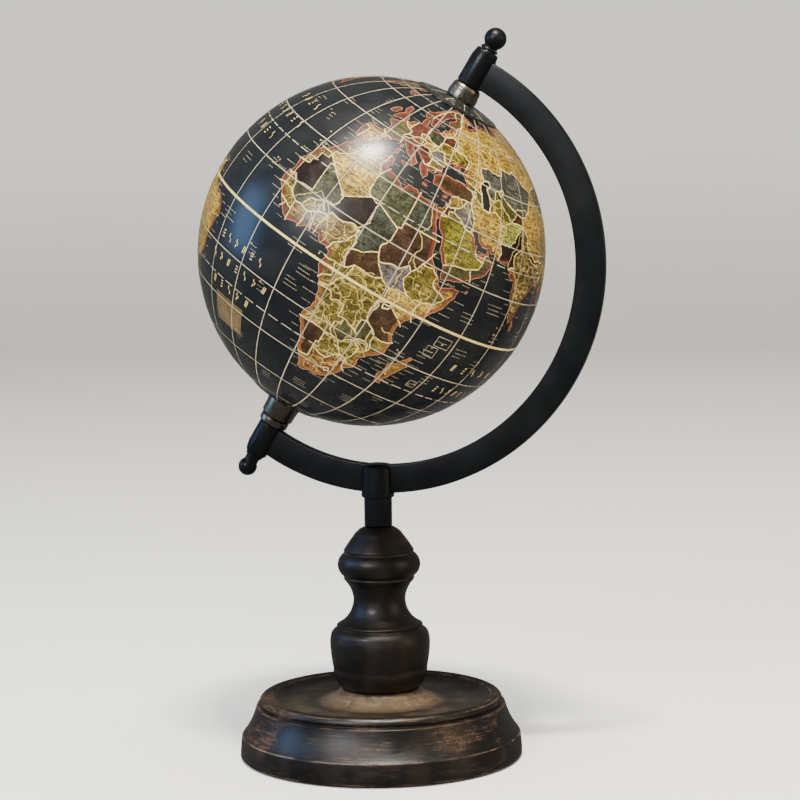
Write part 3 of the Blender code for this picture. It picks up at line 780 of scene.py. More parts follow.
# Borders, each from coast to coast or to another border. Those that start with = are ruled straight.
BORDERS = """
    -2 36 -1.8 33 -3.5 31 -8.7 28.7 -8.7 27.3
    = -14.2 27.7 -8.7 27.7
    = -17.6 21 -13 21.3 -13 23 -12 23.4 -12 26 -8.7 26 -8.7 27.7
    = -8.7 27.3 -4.9 25 1.2 21.1 3.2 19.7 3.2 19
    = 3.2 19 4.3 19.2 12 23.5
    12 23.5 10 24.5 9.9 26.5 9.5 30.2 7.5 33.5 8.3 35 8.6 37.8
    9.5 30.2 10.2 31.8 11.5 33.8
    = 12 23.5 14.2 22.6 15 23 24 19.5
    = 25 32.5 25 20 24 20 24 15.7
    = 25 22 38 22
    = -4.9 25 -6.6 25 -5.5 15.5 -9.5 15.4 -12.2 14.8
    -17.2 16.3 -14 16.6 -12.2 14.8 -11.4 12.4 -13.7 12.6 -17.6 12.4
    -11.4 12.4 -8 10.2 -8 7.6 -7.4 3.8
    -7.8 7.5 -10.6 8.5 -13.8 9.5
    -10.6 8.5 -12 6.4
    -8 10.2 -5.5 10.4 -4 13.5 0.2 15 3.5 15.4 4.2 16.8 4.2 19.2
    -5.5 10.4 -2.8 9.8 0 11.1 2.3 12 0.3 15
    -2.8 9.8 -3 4.4
    0 11.1 0.6 8.5 1.2 5.6
    2.3 12 3.6 11.7 2.7 9 2.7 5.6
    3.6 11.7 4 13.4 8 12.9 13.5 13.7
    13.5 13.7 15.8 16.7 15 23
    13.5 13.7 14.2 12.5 12.5 8.5 9.5 6.5 8.5 4
    14.2 12.5 15.5 10 14.8 7.5 14.8 5 16.2 2.2 13.2 2.2 9.2 2.2
    13.2 2.2 14.3 -1.5 11.5 -2.8 10.6 -4.2
    14.8 7.5 19 8.8 22.8 11
    24 15.7 22.3 13 22.8 11 24 8.7
    16.2 2.2 18.5 4.2 22.5 4.1 27.4 5 30.8 3.5
    24 8.7 27.4 5
    18.5 4.2 17.8 -0.5 16 -2 15 -4.8 11.8 -5.4
    24 8.7 27 9.6 30 9.7 32.5 12 34 10.5 33 8 36 4.5
    34 10.5 36.3 14.3 38.6 18.6
    36.3 14.3 40 14.5 42.8 12.4
    42 12.9 41.8 11 43.6 11.1
    41.8 11 43 9.5 47.8 8 45 5 42 4.2 38.5 3.6 36 4.5 34 4.2
    42 4.2 41 2.8 41 -0.9 42 -2.4
    30.8 3.5 34 4.2 35 1.8 34 -1 37.6 -3 40 -5
    34 -1 29.7 -1.3 30.8 3.5
    29.7 -1.3 29.2 -4.5 29.5 -6 30.7 -8.3
    29.7 -1.3 30.8 -2.4 30 -4.4 29.2 -4.4
    30.7 -8.3 33 -9.5 34.7 -11.5 37.5 -11.7 41 -10.4
    30.7 -8.3 28.7 -8.5 28.5 -12 29.8 -13.4 27 -12 24 -10.9 22 -11.2
    22 -11.2 21.8 -7.3 19.5 -7 17.5 -8.1 16.5 -5.9 11.8 -6
    = 22 -11.2 24 -11 24 -13 22 -13 22 -16.2 23.4 -17.6
    11.2 -17.3 14 -17.4 18.4 -17.4 21 -17.9 23.4 -17.6
    21 -17.9 23.6 -18.4 25.2 -17.8 23.4 -17.6
    = 21 -17.9 21 -22 20 -22 20 -28.4
    16 -28.6 17.5 -28.8 20 -28.4
    20 -24.8 23 -25.4 25.5 -25.6 27 -23.6 29.4 -22.2
    25.2 -17.8 27.5 -20.5 29.4 -22.2
    25.2 -17.8 27 -18 28.8 -16 30.4 -15.6
    30.4 -15.6 33 -17 32.6 -20.5 31.3 -22.4 29.4 -22.2
    31.3 -22.4 32 -25.8 33.6 -26.9
    27 -29.5 28.5 -28.7 29.3 -29.6 28 -30.6 27 -29.5
    30.4 -15.6 30.3 -14.9 33.2 -14 33 -9.5
    33.2 -14 34.5 -14.5 35.3 -17 35.8 -15.8 34.7 -13.5 34.7 -11.5
    -7.5 36.6 -7 41.5 -9.6 42
    -2.2 44 0 42.7 3.8 42.1
    2 51.6 6 49.5 8 48.8 7.5 47.5 6 46.2 7 45 7.5 43
    7 54 6.2 51 6 49.5
    14.3 54.6 14.8 51 12.3 50.2 13.5 48.8 10.5 47.5 7.5 47.5
    14.8 51 18.8 49.5 22.7 49.3 23.6 51.5 23.5 54 19.3 54.8
    13.5 48.8 17 48.5 16.2 46.8 13.6 46.5 10.5 46.9 7 45.8
    17 48.5 22.7 49.3 22.8 48 20.3 46.1 16.2 46.8 13.2 45
    20.3 46.1 22.6 44.5 22.5 42.3 21 40.9 19.2 42
    22.8 48 26.5 48.2 28.2 45.5 30 45.1
    22.6 44.5 28.9 43.7
    22.5 42.3 22.9 41.3 26.3 41.7 28.5 42
    26.3 41.7 26.2 40.3
    21 40.9 22.9 41.3
    23.6 51.5 31 52 34.5 51.5 39.8 49.7 38.3 46.8
    23.5 54 26.6 55.6 30.8 55.6 31.5 53.5 31 52
    20.6 56 26.6 55.6 27.8 57.5 28.2 60
    27.7 60 31 62.8 29 66.5 29 69.2 29.5 70.4
    11 58.7 12 62 14 65 18 68.5 21 69 24.2 65.5
    21 69 26 69.8 29 69.2
    39.5 43.5 44 42.6 49 41.5
    41.2 41.3 43.5 41 44.8 39.7 50 38.4
    43.5 41 46 41.2 46 40 44.8 39.7
    44.8 39.7 44.4 37.2 42.4 37.1 38 36.8 35.8 36
    42.4 37.1 41 34.4 38.8 33.4 35.8 32.7 34.8 33.3
    35.8 32.7 36.5 34.5 35.6 34.8
    35.8 32.7 35.5 31 34.9 29
    = 34.7 29.1 37.5 30 37 31.5 39 32 38.8 33.4
    39 32 42 31.2 44.7 29.2 47.5 29 49 28.3
    47.5 29 47.8 30.5
    44.4 37.2 46 35 47.8 31.5 48.2 29.5
    42.2 16.5 44 17.4 48 18.2 52 19 53.2 16.4 53.4 15.4
    = 52 19 55 20 55.7 22 52.5 22.9 51.2 24.8
    55.7 22 56 24.3 57 24.7
    61.2 35.3 60.7 31.5 61 29.8 63 27 61.7 24.6
    53.4 37.4 57 38.2 61.2 35.3 64.5 36.4 66.5 37.4 71 37.5 74.5 37.2
    52.4 41.7 56 41.3 58.5 42.7 62 40 66.5 37.4
    = 56 41.3 56 45 59.6 45.6
    = 69 41.3 70 40.5
    60 44.9 62 43.5 66 42 69 41.3 71 42.3 80 42.2
    74.5 37.2 71 34.5 69.5 32 66.5 29.8 61 29.8
    66.5 37.4 70 40.5 74 40 74.5 37.2
    74 40 80 42.2
    49 46 47 48.5 47 50.5 54 51 61 51 61.5 54 71 54.3 77 53.5 80 50.8 87.3 49.2 85 47 82.5 45.3 80 42.2
    74.5 37.2 74 33 74.5 31 70 27.8 71 24.5 68.2 23.7
    74.5 37.2 78.5 34.5 79 31 81 30.2 86 28 92 27.8 97 28.3
    81 30.2 80.2 28.8 84 27.3 88 26.5 88 27.9
    88.8 21.3 88.5 25 92 25 92.4 21.8
    92.4 22 94.5 24.5 97 28.3 98 24 101 21.5 98 18.5 98.8 12 98.4 10
    101 21.5 104.5 17.5 107 14.5 106 11 104.7 9.8
    101 21.5 105 23 108.4 21.4
    87.3 49.2 98 51.5 108 49.8 116 49.8 119 47 111 43.5 104 41.7 96 42.7 90.5 46 87.3 49.2
    116 49.8 120 53 126 52 130.5 48.8 135 48.3 131 44.8 130.9 42
    124 39.8 128 41.7 130.7 42.4
    126.2 37.7 129 38.6
    = -125.5 49 -95 49
    -95 49 -83 45.5 -79 43.3 -75 45 -67 47 -67 44
    -117.6 32.6 -111 31.3 -106.5 31.8 -103 29 -99 27.5 -96.8 25.9
    = -141 70 -141 60
    -141 60.3 -130.5 55.2
    -51.3 4.8 -60 2 -64 4 -67 1 -70 -4 -73 -8 -69 -11 -65 -12 -60 -14 -58 -20 -54.5 -24 -54.5 -27
        -57.5 -30.5 -53 -34
    -68.8 -52.5 -72 -49 -71.5 -40 -70 -33 -68.5 -25 -67 -22.5 -62.5 -22 -58 -20
    -62.5 -22 -58 -27 -54.5 -27
    -57.5 -30.5 -58.8 -35
    -67 -22.5 -69 -18 -69 -11
    -71.6 -18.3 -69 -18
    -80.6 -3.6 -75 -2.5 -70 -4
    -79 1.4 -75 -0.5 -75 -2.5
    -71.8 12.6 -72.5 7.5 -67.5 6 -67 1
    -60 9 -61 5 -60 2
    = 129 -14 129 -33
    = 138 -16 138 -26 141 -26 141 -38.4
    = 129 -26 138 -26
    = 141 -29 154 -28.3
"""
RIVERS = """
    31 31.4 31.2 29.5 32.8 26 32.8 24 30.5 21.8 33 19.3 33.4 17 32.5 15.6 32.4 12 31.5 9.4
        31.7 5.5 31.2 3 32.4 0.4
    32.5 15.6 34.2 12.4 37.4 11.8
    12.2 -6 15.3 -4.3 17.3 -1 18.5 1.6 22 2.2 24.6 0.8 25.5 -2.8 27 -5.2 26.6 -8.8 27.5 -11.6
    18.5 1.6 18.6 4.3 22.4 4.1 25 4.8
    17.3 -1 19 -1.6 22 -1.2 24.4 -3.6
    17 -3.2 19.4 -5 20.4 -7.4 21.4 -10.4
    6 4.4 6.6 7.8 4 11.5 0.4 15.6 -2.8 16.8 -5.4 14.4 -8 12.4 -10.4 9.6
    6.6 7.8 9.6 7.8 13.4 9.2
    36.2 -18.8 33 -16.2 30.4 -15.6 27.6 -17.6 25.2 -17.8 23 -15.6 23.2 -13.2 24 -11.6
    27.6 -17.6 28.4 -14.6 27.8 -12.8
    16.5 -28.6 19.4 -28.8 22.4 -28.8 25.2 -29.8 28.4 -29.2
    25 -28.6 27.4 -27 29.6 -26.6
    12 -17.2 14.6 -16.4 16.2 -13.6 15.6 -11.2
    17.2 -17.4 18.2 -14.6 17.6 -12.4
    20.8 -17.6 20 -14.8 18.8 -12.6
    13.4 -9.4 16.4 -9.8 17.6 -11.8
    35.4 -23.8 32.4 -23.8 31.3 -22.4
    42.6 -0.4 40.4 1.6 41.6 4.2 39.6 6.4
    39.6 -8 36.8 -8.6 35.2 -7.6
    -16.4 15.8 -13.6 16.2 -12 14.2 -11.2 11.8
    0.6 6 -0.4 8.2 -1.4 10.8
    48 30.2 45.6 32.4 43.2 34.4 41 35.4 38.4 37.4
    47.4 31 45.2 33.6 43 36.4
    67.4 24.4 68.4 27.4 70.6 30 72 33.6 74.4 35
    88.4 22.6 86 25 81 26 78 29.4
    47.8 46 45 48.6 46 51.8 49 54.4 44 56.2 38 57.2
    31.8 46.6 34.6 48.2 31 50.6 31.6 54
    29.6 45 24 43.8 20.2 45 18.8 47.8 13 48.6
    39.2 47 41.6 49 39 52.6
    60.4 44.4 64 42.4 69 40.8
    66.8 66.4 66 61 69 58.4 73.4 55 78 52
    82.6 70.6 86 66 90 61 93 56
    -50 -1 -55 -2.4 -60 -3.2 -66 -2.6 -73 -4.4
    -34.8 -8.6 -39 -9.4 -43.6 -12 -44.6 -18
    -58.4 -34 -57.6 -30 -58.6 -26 -54.4 -24 -48 -19.6
    -90 29.4 -91 33 -89.4 37.4 -91.4 42 -94 46.6
"""

GOLD = (0.335, 0.200, 0.020)
PALE_GOLD = (0.42, 0.275, 0.036)
OLIVE_GOLD = (0.125, 0.092, 0.0055)
LIME_GOLD = (0.140, 0.122, 0.0035)
TAN = (0.150, 0.100, 0.022)
OLIVE = (0.075, 0.066, 0.014)
SAGE = (0.053, 0.056, 0.024)
SLATE = (0.044, 0.048, 0.030)
MAROON = (0.013, 0.0065, 0.0042)
RUST = (0.090, 0.020, 0.008)
BROWN = (0.054, 0.025, 0.0065)
ORANGE = (0.150, 0.056, 0.008)
LAVENDER = (0.102, 0.086, 0.078)
UMBER = (0.050, 0.024, 0.0115)
SMOKE = (0.072, 0.070, 0.054)
LIME = (0.29, 0.31, 0.06)

# A place inside each tinted country, or part of a continent, and its tint.
TINTS = (
    (-6, 32, TAN), (-13, 25, TAN), (-11, 20, MAROON), (-3, 18, SAGE), (3, 29, PALE_GOLD),
    (9, 34, ORANGE), (18, 27, SAGE), (29, 27, SLATE), (9, 18, MAROON), (18, 15, SLATE), (30, 16, UMBER),
    (30, 7.5, LAVENDER), (40, 9, OLIVE_GOLD), (39, 15.5, UMBER), (42.5, 11.6, RUST), (46, 5, GOLD),
    (38, 1, GOLD), (32, 1.5, PALE_GOLD), (34, -6, BROWN), (30, -3.4, OLIVE), (-15, 14.4, TAN),
    (-10, 10.8, OLIVE_GOLD), (-12, 8.6, TAN), (-9.5, 6.6, OLIVE), (-5.5, 7.6, TAN),
    (-2, 12.4, OLIVE_GOLD), (-1, 7.6, OLIVE), (1.5, 8.6, TAN), (8, 9.6, TAN), (12.5, 5, OLIVE_GOLD),
    (20.5, 6.5, BROWN), (11.6, -0.6, TAN), (15.6, 0.2, OLIVE_GOLD), (22, -2, OLIVE_GOLD),
    (17.5, -12, OLIVE_GOLD), (26, -14.4, OLIVE), (33.6, -12.4, OLIVE_GOLD), (37.6, -14.6, OLIVE_GOLD),
    (34, -21, LIME_GOLD), (29.6, -19, LIME_GOLD), (24, -22, OLIVE_GOLD), (16.6, -22, BROWN),
    (23.4, -18.1, OLIVE), (24, -31, ORANGE), (28.2, -29.6, BROWN), (46.6, -19, OLIVE_GOLD),
    (-4, 40, PALE_GOLD), (-8.4, 39.6, OLIVE), (2, 47, OLIVE), (10, 51, RUST), (4.6, 51.4, GOLD),
    (19, 52, SAGE), (15, 50, OLIVE_GOLD), (12, 44, RUST), (20, 47.2, GOLD), (17.6, 44, RUST),
    (25, 46, LAVENDER), (25.4, 42.6, OLIVE), (22, 39.4, RUST), (20.4, 41, OLIVE), (31, 49, OLIVE_GOLD),
    (28, 53.6, RUST), (24.6, 57, GOLD), (26, 63.6, OLIVE), (16, 63, RUST), (9, 61, RUST),
    (45, 57, GOLD), (34, 39, BROWN), (44.6, 40.6, OLIVE), (38.6, 35.2, OLIVE_GOLD), (36, 33.8, BROWN),
    (43.6, 33, LAVENDER), (45, 23.6, LIME_GOLD), (46, 15.6, OLIVE), (56.6, 20, SAGE),
    (53.6, 23.4, GOLD), (54, 32.4, GOLD), (60, 39.2, OLIVE_GOLD), (63, 41.6, OLIVE), (58, 48.6, SMOKE),
    (65, 33.4, LIME), (68.6, 28.6, MAROON), (71, 39, BROWN), (75, 41.4, SMOKE), (78, 22, TAN),
    (84, 28.2, RUST), (90, 23.8, OLIVE), (96, 21, OLIVE_GOLD), (104, 34, GOLD), (103, 46.4, TAN),
    (101, 14, OLIVE), (106, 20, BROWN), (127, 40.4, RUST), (127.6, 36.6, OLIVE), (100, 62, GOLD),
    (34, 30, OLIVE_GOLD), (80.8, 8, OLIVE), (-100, 40, TAN), (-105, 58, GOLD), (-152, 65, SAGE),
    (-102, 24, OLIVE_GOLD), (-55, -10, GOLD), (-66, -36, TAN), (-72, -38, BROWN), (-64, -17, OLIVE),
    (-75, -9, RUST), (-78, -1.6, OLIVE), (-73, 4, GOLD), (-65, 7.4, OLIVE), (-57, 4, TAN),
    (-60, -23.4, RUST), (-56, -32.6, LAVENDER), (122, -26, TAN), (133, -20, OLIVE_GOLD),
    (134, -29, OLIVE), (146, -23, GOLD), (146, -32, BROWN), (-40, 72, SAGE), (0, -75, TAN),
    (138, 37, RUST), (114, 0, OLIVE), (102, -1, OLIVE_GOLD), (140, -5, OLIVE), (-2, 53, RUST),
    (-8, 53, OLIVE), (-19, 65, TAN),
)

# Three rows of greeked words at sea: longitude, latitude and length.
SEA_LABELS = (
    (-25, 38, 3), (-16, 29.2, 3), (-26, 16, 3), (4, -4, 6), (-2, 1.4, 7), (2, -9, 5), (56, 7, 5),
    (50, -8, 4), (64, 12, 7), (73, 4, 4), (58, -16, 4), (44, -12, 3), (50, -30, 5), (-14, -8, 4),
    (-6, -16, 3), (-12, -37, 4), (-32, -4, 6), (-40, 12, 5), (62, -4, 5), (72, -6, 4), (40, -36, 6),
    (20, -40, 7), (4, -47, 6), (60, -38, 7), (28, 34, 3), (18, 35, 3), (5, 39.6, 3), (-10, 44, 4),
    (-14, 49, 4), (-18, 56, 5), (88, 12, 5), (86, 6, 4), (-30, 46, 5), (-42, 40, 4), (70, -30, 6),
    (30, -52, 6), (-30, -50, 7), (-140, 20, 7), (-160, -10, 8), (160, 20, 8), (-120, -30, 8),
    (150, -5, 6), (-100, 5, 6),
)
# Islands too small for a coast.
ISLANDS = (
    (-28, 38.4), (-25.6, 37.6), (-17, 28.6), (-15.6, 28.2), (-14, 28.6), (-24, 15.4), (-23.4, 16.6),
    (-24.8, 16.8), (-17, 32.7), (55.5, -4.6), (57.6, -20.2), (55.6, -21), (43.4, -11.8), (44.4, -12.4),
    (73.3, 3.6), (73.2, 1.4), (73, 6), (7.4, 1.6), (6.6, 0.2), (-5.7, -15.9), (-14.4, -7.9), (93, 12),
    (93, 9), (-12.3, -37.1), (53, -6.6), (70, -49), (38, -46.8), (-155.6, 19.6), (-36.8, -54.4),
    (-59, -51.8), (178, -17.6), (-149, -17.6),
)
# Framed inset maps at sea: west, south, east and north.
INSETS = ((51.5, -9.6, 55.5, -6.2), (53, -5.6, 58.5, -2.4), (55.2, -21.6, 58.4, -19.2))
# The coasts with combs of greeked words, and how far apart the words are.
LABELLED_COASTS = (
    ("africa", 2.7), ("madagascar", 1.8), ("eurasia", 3.2), ("south_america", 3.0), ("australia", 3.0),
)
# Rows of title marks: how many, west, east, latitude and height.
TITLES = (
    (6, -27.6, -8.0, -11.0, 2.5), (7, -29.8, -3.0, -17.7, 2.5), (5, -27.2, -8.2, -25.4, 2.5),
    (4, -50, -34, 36, 2.6), (6, -56, -30, 28.5, 2.6), (4, -52, -36, 20.5, 2.6), (5, 66, 88, -10, 2.5),
    (6, 67, 86, -19, 2.5), (6, -170, -130, 6, 3.2), (6, -165, -137, -8, 3.2), (6, 150, 176, 28, 2.6),
    (6, 152, 172, 20, 2.6),
)


# How the map lies on the globe. Its own pole leans a little from the axle, and its gores are stretched by
# GORE_STRETCH degrees at most, either side of GORE_MIDDLE.
MAP_TILT = math.radians(32.758)
MAP_LEAN = math.radians(0.819)
MAP_TURN = -96.36
MAP_STRETCH = 1.064
MAP_SLIP = -1.249
GORE_STRETCH = 2.339
GORE_MIDDLE = 22.0
MAP_TOP = 83.0  # the degrees from the map's equator that are drawn at most

# The radius of each printed layer at the equator.
OCEAN_R = 62.40
LAND_R = 62.475
BAND_R = 62.51
INK_R = 62.54
GRID_R = 62.57
TITLE_R = 62.595
CALOTTE_THICK = 0.30
CALOTTE_LIFT = 0.02
CAP_LINE_R = GLOBE_R + CALOTTE_LIFT + CALOTTE_THICK + 0.03

# How wide the band inside a coast is, and half the width of each kind of line, in millimetres.
COAST_BAND = 0.95
AFRICAN_BAND = 1.25
BORDER_HALF = 0.20
RIVER_HALF = 0.14
COAST_HALF = 0.10
LAKE_HALF = 0.26
GRID_HALF = 0.165
EQUATOR_HALF = 0.42
CAP_MERIDIAN_HALF = 0.17
CAP_RING_HALF = 0.12
ISLAND_HALF = 0.28
INSET_HALF = 0.09
TITLE_HALF = 0.17

VARNISH = {"specular_ior_level": 0.3, "coat_weight": 0.3, "coat_roughness": 0.21, "coat_ior": 1.45}
MAP_SEED = 7
BORDER_OVERSHOOT = 0.4  # in degrees, so that the borders close on each other

CREAM = (0.60, 0.46, 0.155)
RIVER_CREAM = (0.44, 0.33, 0.085)
GREY_CREAM = (0.34, 0.305, 0.20)
LABEL_CREAM = (0.25, 0.22, 0.14)
WEB_CREAM = (0.44, 0.32, 0.065)
BAND_RUST = (0.110, 0.022, 0.0095)
BAND_ORANGE = (0.175, 0.056, 0.008)
COAST_BROWN = (0.30, 0.17, 0.09)
ISLAND_TAN = (0.36, 0.24, 0.10)
LAND_NAME_INK = (0.016, 0.011, 0.006)
PANEL_TAN = (0.105, 0.066, 0.026)
PANEL_EDGE = (0.12, 0.07, 0.035)
PANEL_INK = (0.22, 0.16, 0.075)
OCEAN_DEEP = (0.0035, 0.0048, 0.0062)
OCEAN_WORN = (0.0075, 0.0088, 0.0090)
OCEAN_SPECK = (0.03, 0.03, 0.024)
CAP_DARK = (0.006, 0.0075, 0.0080)
CAP_SMUDGE = (0.045, 0.036, 0.020)
CAP_SPECK = (0.12, 0.095, 0.05)
# The strokes of each title mark, from and to, in a cell one wide and one tall.
TITLE_MARKS = (
    ((0.30, 0.00, 0.30, 0.38), (0.30, 0.62, 0.30, 1.00), (0.68, 0.30, 0.68, 0.70)),
    ((0.15, 0.05, 0.38, 0.95), (0.56, 0.05, 0.79, 0.95)),
    ((0.20, 0.12, 0.80, 0.12), (0.20, 0.50, 0.80, 0.50), (0.20, 0.88, 0.80, 0.88)),
    ((0.22, 1.00, 0.22, 0.56), (0.74, 0.44, 0.74, 0.00), (0.40, 0.50, 0.56, 0.50)),
)
MARK_SHAPE = 1.5  # a mark is this much taller than wide
NAMED_LANDS = ("africa", "eurasia", "south_america", "north_america", "australia", "madagascar")

MAP_POLE = np.array((
    math.sin(MAP_TILT) * math.cos(MAP_LEAN),
    math.sin(MAP_LEAN),
    math.cos(MAP_TILT) * math.cos(MAP_LEAN),
))
MAP_EAST = np.array((math.cos(MAP_TILT), 0.0, -math.sin(MAP_TILT)))
MAP_NORTH = np.cross(MAP_POLE, MAP_EAST)


def directions(places):
    """Unit vectors from the globe's centre for rows of longitude and latitude."""
    longitude, latitude = np.asarray(places, float).T
    stretched = longitude + MAP_TURN + GORE_STRETCH * np.sin(np.radians(longitude - GORE_MIDDLE))
    turn = np.radians(stretched)[:, None]
    rise = np.radians(np.clip(latitude * MAP_STRETCH + MAP_SLIP, -MAP_TOP, MAP_TOP))[:, None]
    level = np.cos(turn) * MAP_EAST + np.sin(turn) * MAP_NORTH
    return np.cos(rise) * level + np.sin(rise) * MAP_POLE


def on_globe(unit, radius):
    """Points in metres on the oval of this radius in millimetres, in the directions of the unit vectors."""
    along = (unit @ AXLE)[:, None] * AXLE
    return np.array(GLOBE_AT) + radius * MM * (unit + along * (POLE_STRETCH - 1.0))


def path_of(text):
    return np.array(text.split(), float).reshape(-1, 2)


def roughened(path, amount, longest, dice):
    """The path with each long stretch halved again and again, each new point moved aside a little."""
    points = [tuple(path[0])]
    for start, end in zip(path, path[1:]):
        stretch = [np.array(start), np.array(end)]
        while np.linalg.norm(stretch[1] - stretch[0]) > longest:
            finer = [stretch[0]]
            for a, b in zip(stretch, stretch[1:]):
                aside = np.array((a[1] - b[1], b[0] - a[0]))
                finer += [(a + b) / 2 + aside * dice.uniform(-amount, amount), b]
            stretch = finer
        points += [tuple(p) for p in stretch[1:]]
    return np.array(points)


def drawn_lines(text, amount, longest, dice, overshoot=0.0):
    """Every path in a block of text, one to a line, drawn on past both ends by overshoot.

    A line that is indented more than the others goes on from the one before. A path that starts with = is
    ruled straight.
    """
    rows = []
    for line in text.strip("\n").splitlines():
        if line.startswith("        "):
            rows[-1] += line
        elif line.strip():
            rows.append(line.strip())
    paths = []
    for row in rows:
        ruled = row.startswith("=")
        path = path_of(row.lstrip("= "))
        if overshoot:
            first, last = path[0] - path[1], path[-1] - path[-2]
            before = path[0] + first / np.linalg.norm(first) * overshoot
            after = path[-1] + last / np.linalg.norm(last) * overshoot
            path = np.concatenate(([before], path, [after]))
        paths.append(roughened(path, 0.0 if ruled else amount, longest, dice))
    return paths


def layer_piece(name, vertices, faces, units, colours, material):
    """A printed layer: one mesh on the globe with a tint on each face and normals that follow the globe."""
    mesh = bpy.data.meshes.new(name)
    mesh.from_pydata(vertices.tolist(), [], faces)
    mesh.shade_smooth()
    tint = mesh.color_attributes.new("tint", "FLOAT_COLOR", "CORNER")
    sizes = np.array([len(face) for face in faces])
    per_corner = np.repeat(np.column_stack((colours, np.ones(len(colours)))), sizes, axis=0)
    tint.data.foreach_set("color", per_corner.astype(np.float32).ravel())
    mesh.normals_split_custom_set_from_vertices(units.tolist())
    return finish_piece(name, mesh, material, "globe")


class Layer:
    """Ribbons and patches of one printed layer, gathered before they become one mesh."""

    def __init__(self, radius):
        self.radius = radius
        self.units = []
        self.faces = []
        self.colours = []
        self.count = 0

    def add(self, units, faces, colour):
        """Faces of one tint, over points that are given as unit vectors."""
        self.units.append(units)
        self.faces += [tuple(i + self.count for i in face) for face in faces]
        self.colours += [colour] * len(faces)
        self.count += len(units)

    def ribbon(self, places, half, colour, sides=(1.0, 1.0), closed=False, longest=2.4):
        """A strip along the path, half wide on each side in millimetres, times the shares in sides."""
        fine = [places[0]]
        for start, end in zip(places, places[1:]):
            steps = max(1, math.ceil(np.linalg.norm(np.subtract(end, start)) / longest))
            fine += [np.add(start, np.subtract(end, start) * i / steps) for i in range(1, steps + 1)]
        unit = directions(fine)
        ahead = np.roll(unit, -1, axis=0) - np.roll(unit, 1, axis=0)
        if closed:
            ahead[0] = ahead[-1] = unit[1] - unit[-2]
        else:
            ahead[0] = unit[1] - unit[0]
            ahead[-1] = unit[-1] - unit[-2]
        aside = np.cross(unit, ahead)
        length = np.linalg.norm(aside, axis=1, keepdims=True)
        aside = aside / np.maximum(length, 1e-9)
        first = unit + aside * (half * sides[0] / GLOBE_R)
        second = unit - aside * (half * sides[1] / GLOBE_R)
        both = np.concatenate((first, second))
        both /= np.linalg.norm(both, axis=1, keepdims=True)
        n = len(unit)
        self.add(both, [(i, i + n, i + n + 1, i + 1) for i in range(n - 1)], colour)

    def piece(self, name, material):
        """The gathered mesh as one piece."""
        units = np.concatenate(self.units)
        points = on_globe(units, self.radius)
        return layer_piece(name, points, self.faces, units, self.colours, material)


def signed_area(ring):
    x, y = ring.T
    return 0.5 * float(np.sum(x * np.roll(y, -1) - np.roll(x, -1) * y))


def inside(ring, place):
    """Whether the place is inside the ring, by counting crossings to the east."""
    x, y = place
    x1, y1 = ring.T
    x2, y2 = np.roll(x1, -1), np.roll(y1, -1)
    spans = (y1 > y) != (y2 > y)
    with np.errstate(divide="ignore", invalid="ignore"):
        crossing = x1 + (y - y1) * (x2 - x1) / (y2 - y1)
    return bool(np.count_nonzero(spans & (crossing > x)) % 2)


def land_regions(rings, lakes, borders):
    """Triangles over the whole map, each with the number of its region between coasts and borders."""
    grid = [(lon, lat) for lat in np.arange(-84.0, 85.0, 3.0) for lon in np.arange(-180.0, 180.1, 3.0)]
    places = [Vector(p) for p in grid]
    edges = []
    for path in [*rings, *lakes, *borders]:
        first = len(places)
        places += [Vector(p) for p in path]
        edges += [(first + i, first + i + 1) for i in range(len(path) - 1)]
    found = delaunay_2d_cdt(places, edges, [], 0, 1e-6)
    places, found_edges, triangles, _, origins, _ = found
    fixed = {frozenset(e) for e, source in zip(found_edges, origins) if source}
    owners = {}
    for index, triangle in enumerate(triangles):
        for pair in zip(triangle, triangle[1:] + triangle[:1]):
            owners.setdefault(frozenset(pair), []).append(index)
    region = [-1] * len(triangles)
    count = 0
    for seed in range(len(triangles)):
        if region[seed] >= 0:
            continue
        region[seed] = count
        waiting = [seed]
        while waiting:
            triangle = triangles[waiting.pop()]
            for pair in zip(triangle, triangle[1:] + triangle[:1]):
                edge = frozenset(pair)
                if edge in fixed:
                    continue
                for other in owners[edge]:
                    if region[other] < 0:
                        region[other] = count
                        waiting.append(other)
        count += 1
    return np.array([p[:] for p in places]), triangles, np.array(region), count


def region_at(place, corners, region):
    """The region of the triangle that holds the place."""
    sides = []
    for i in range(3):
        start, end = corners[:, i], corners[:, (i + 1) % 3]
        along, to_place = end - start, np.array(place) - start
        sides.append(along[:, 0] * to_place[:, 1] - along[:, 1] * to_place[:, 0])
    sides = np.array(sides)
    return region[np.flatnonzero((sides >= 0).all(axis=0) | (sides <= 0).all(axis=0))[0]]


def region_tints(places, triangles, region, count, rings, lakes):
    """The tint of each region, or None for water.

    A region takes the tint whose place is in it, or else the nearest.
    """
    corners = places[np.array(triangles)]
    middles = corners.mean(axis=1)
    given = {}
    for row in TINTS:
        given.setdefault(region_at(row[:2], corners, region), row[2])
    tints = [None] * count
    seeds = np.array([row[:2] for row in TINTS], float)
    for number in range(count):
        members = np.flatnonzero(region == number)
        a, b, c = (corners[members, i] for i in range(3))
        sizes = np.abs(np.cross(b - a, c - a))
        sample = middles[members[int(np.argmax(sizes))]]
        if any(inside(lake, sample) for lake in lakes) or not any(inside(ring, sample) for ring in rings):
            continue
        nearest = TINTS[int(np.argmin(np.linalg.norm(seeds - sample, axis=1)))][2]
        tints[number] = given.get(number, nearest)
    return tints


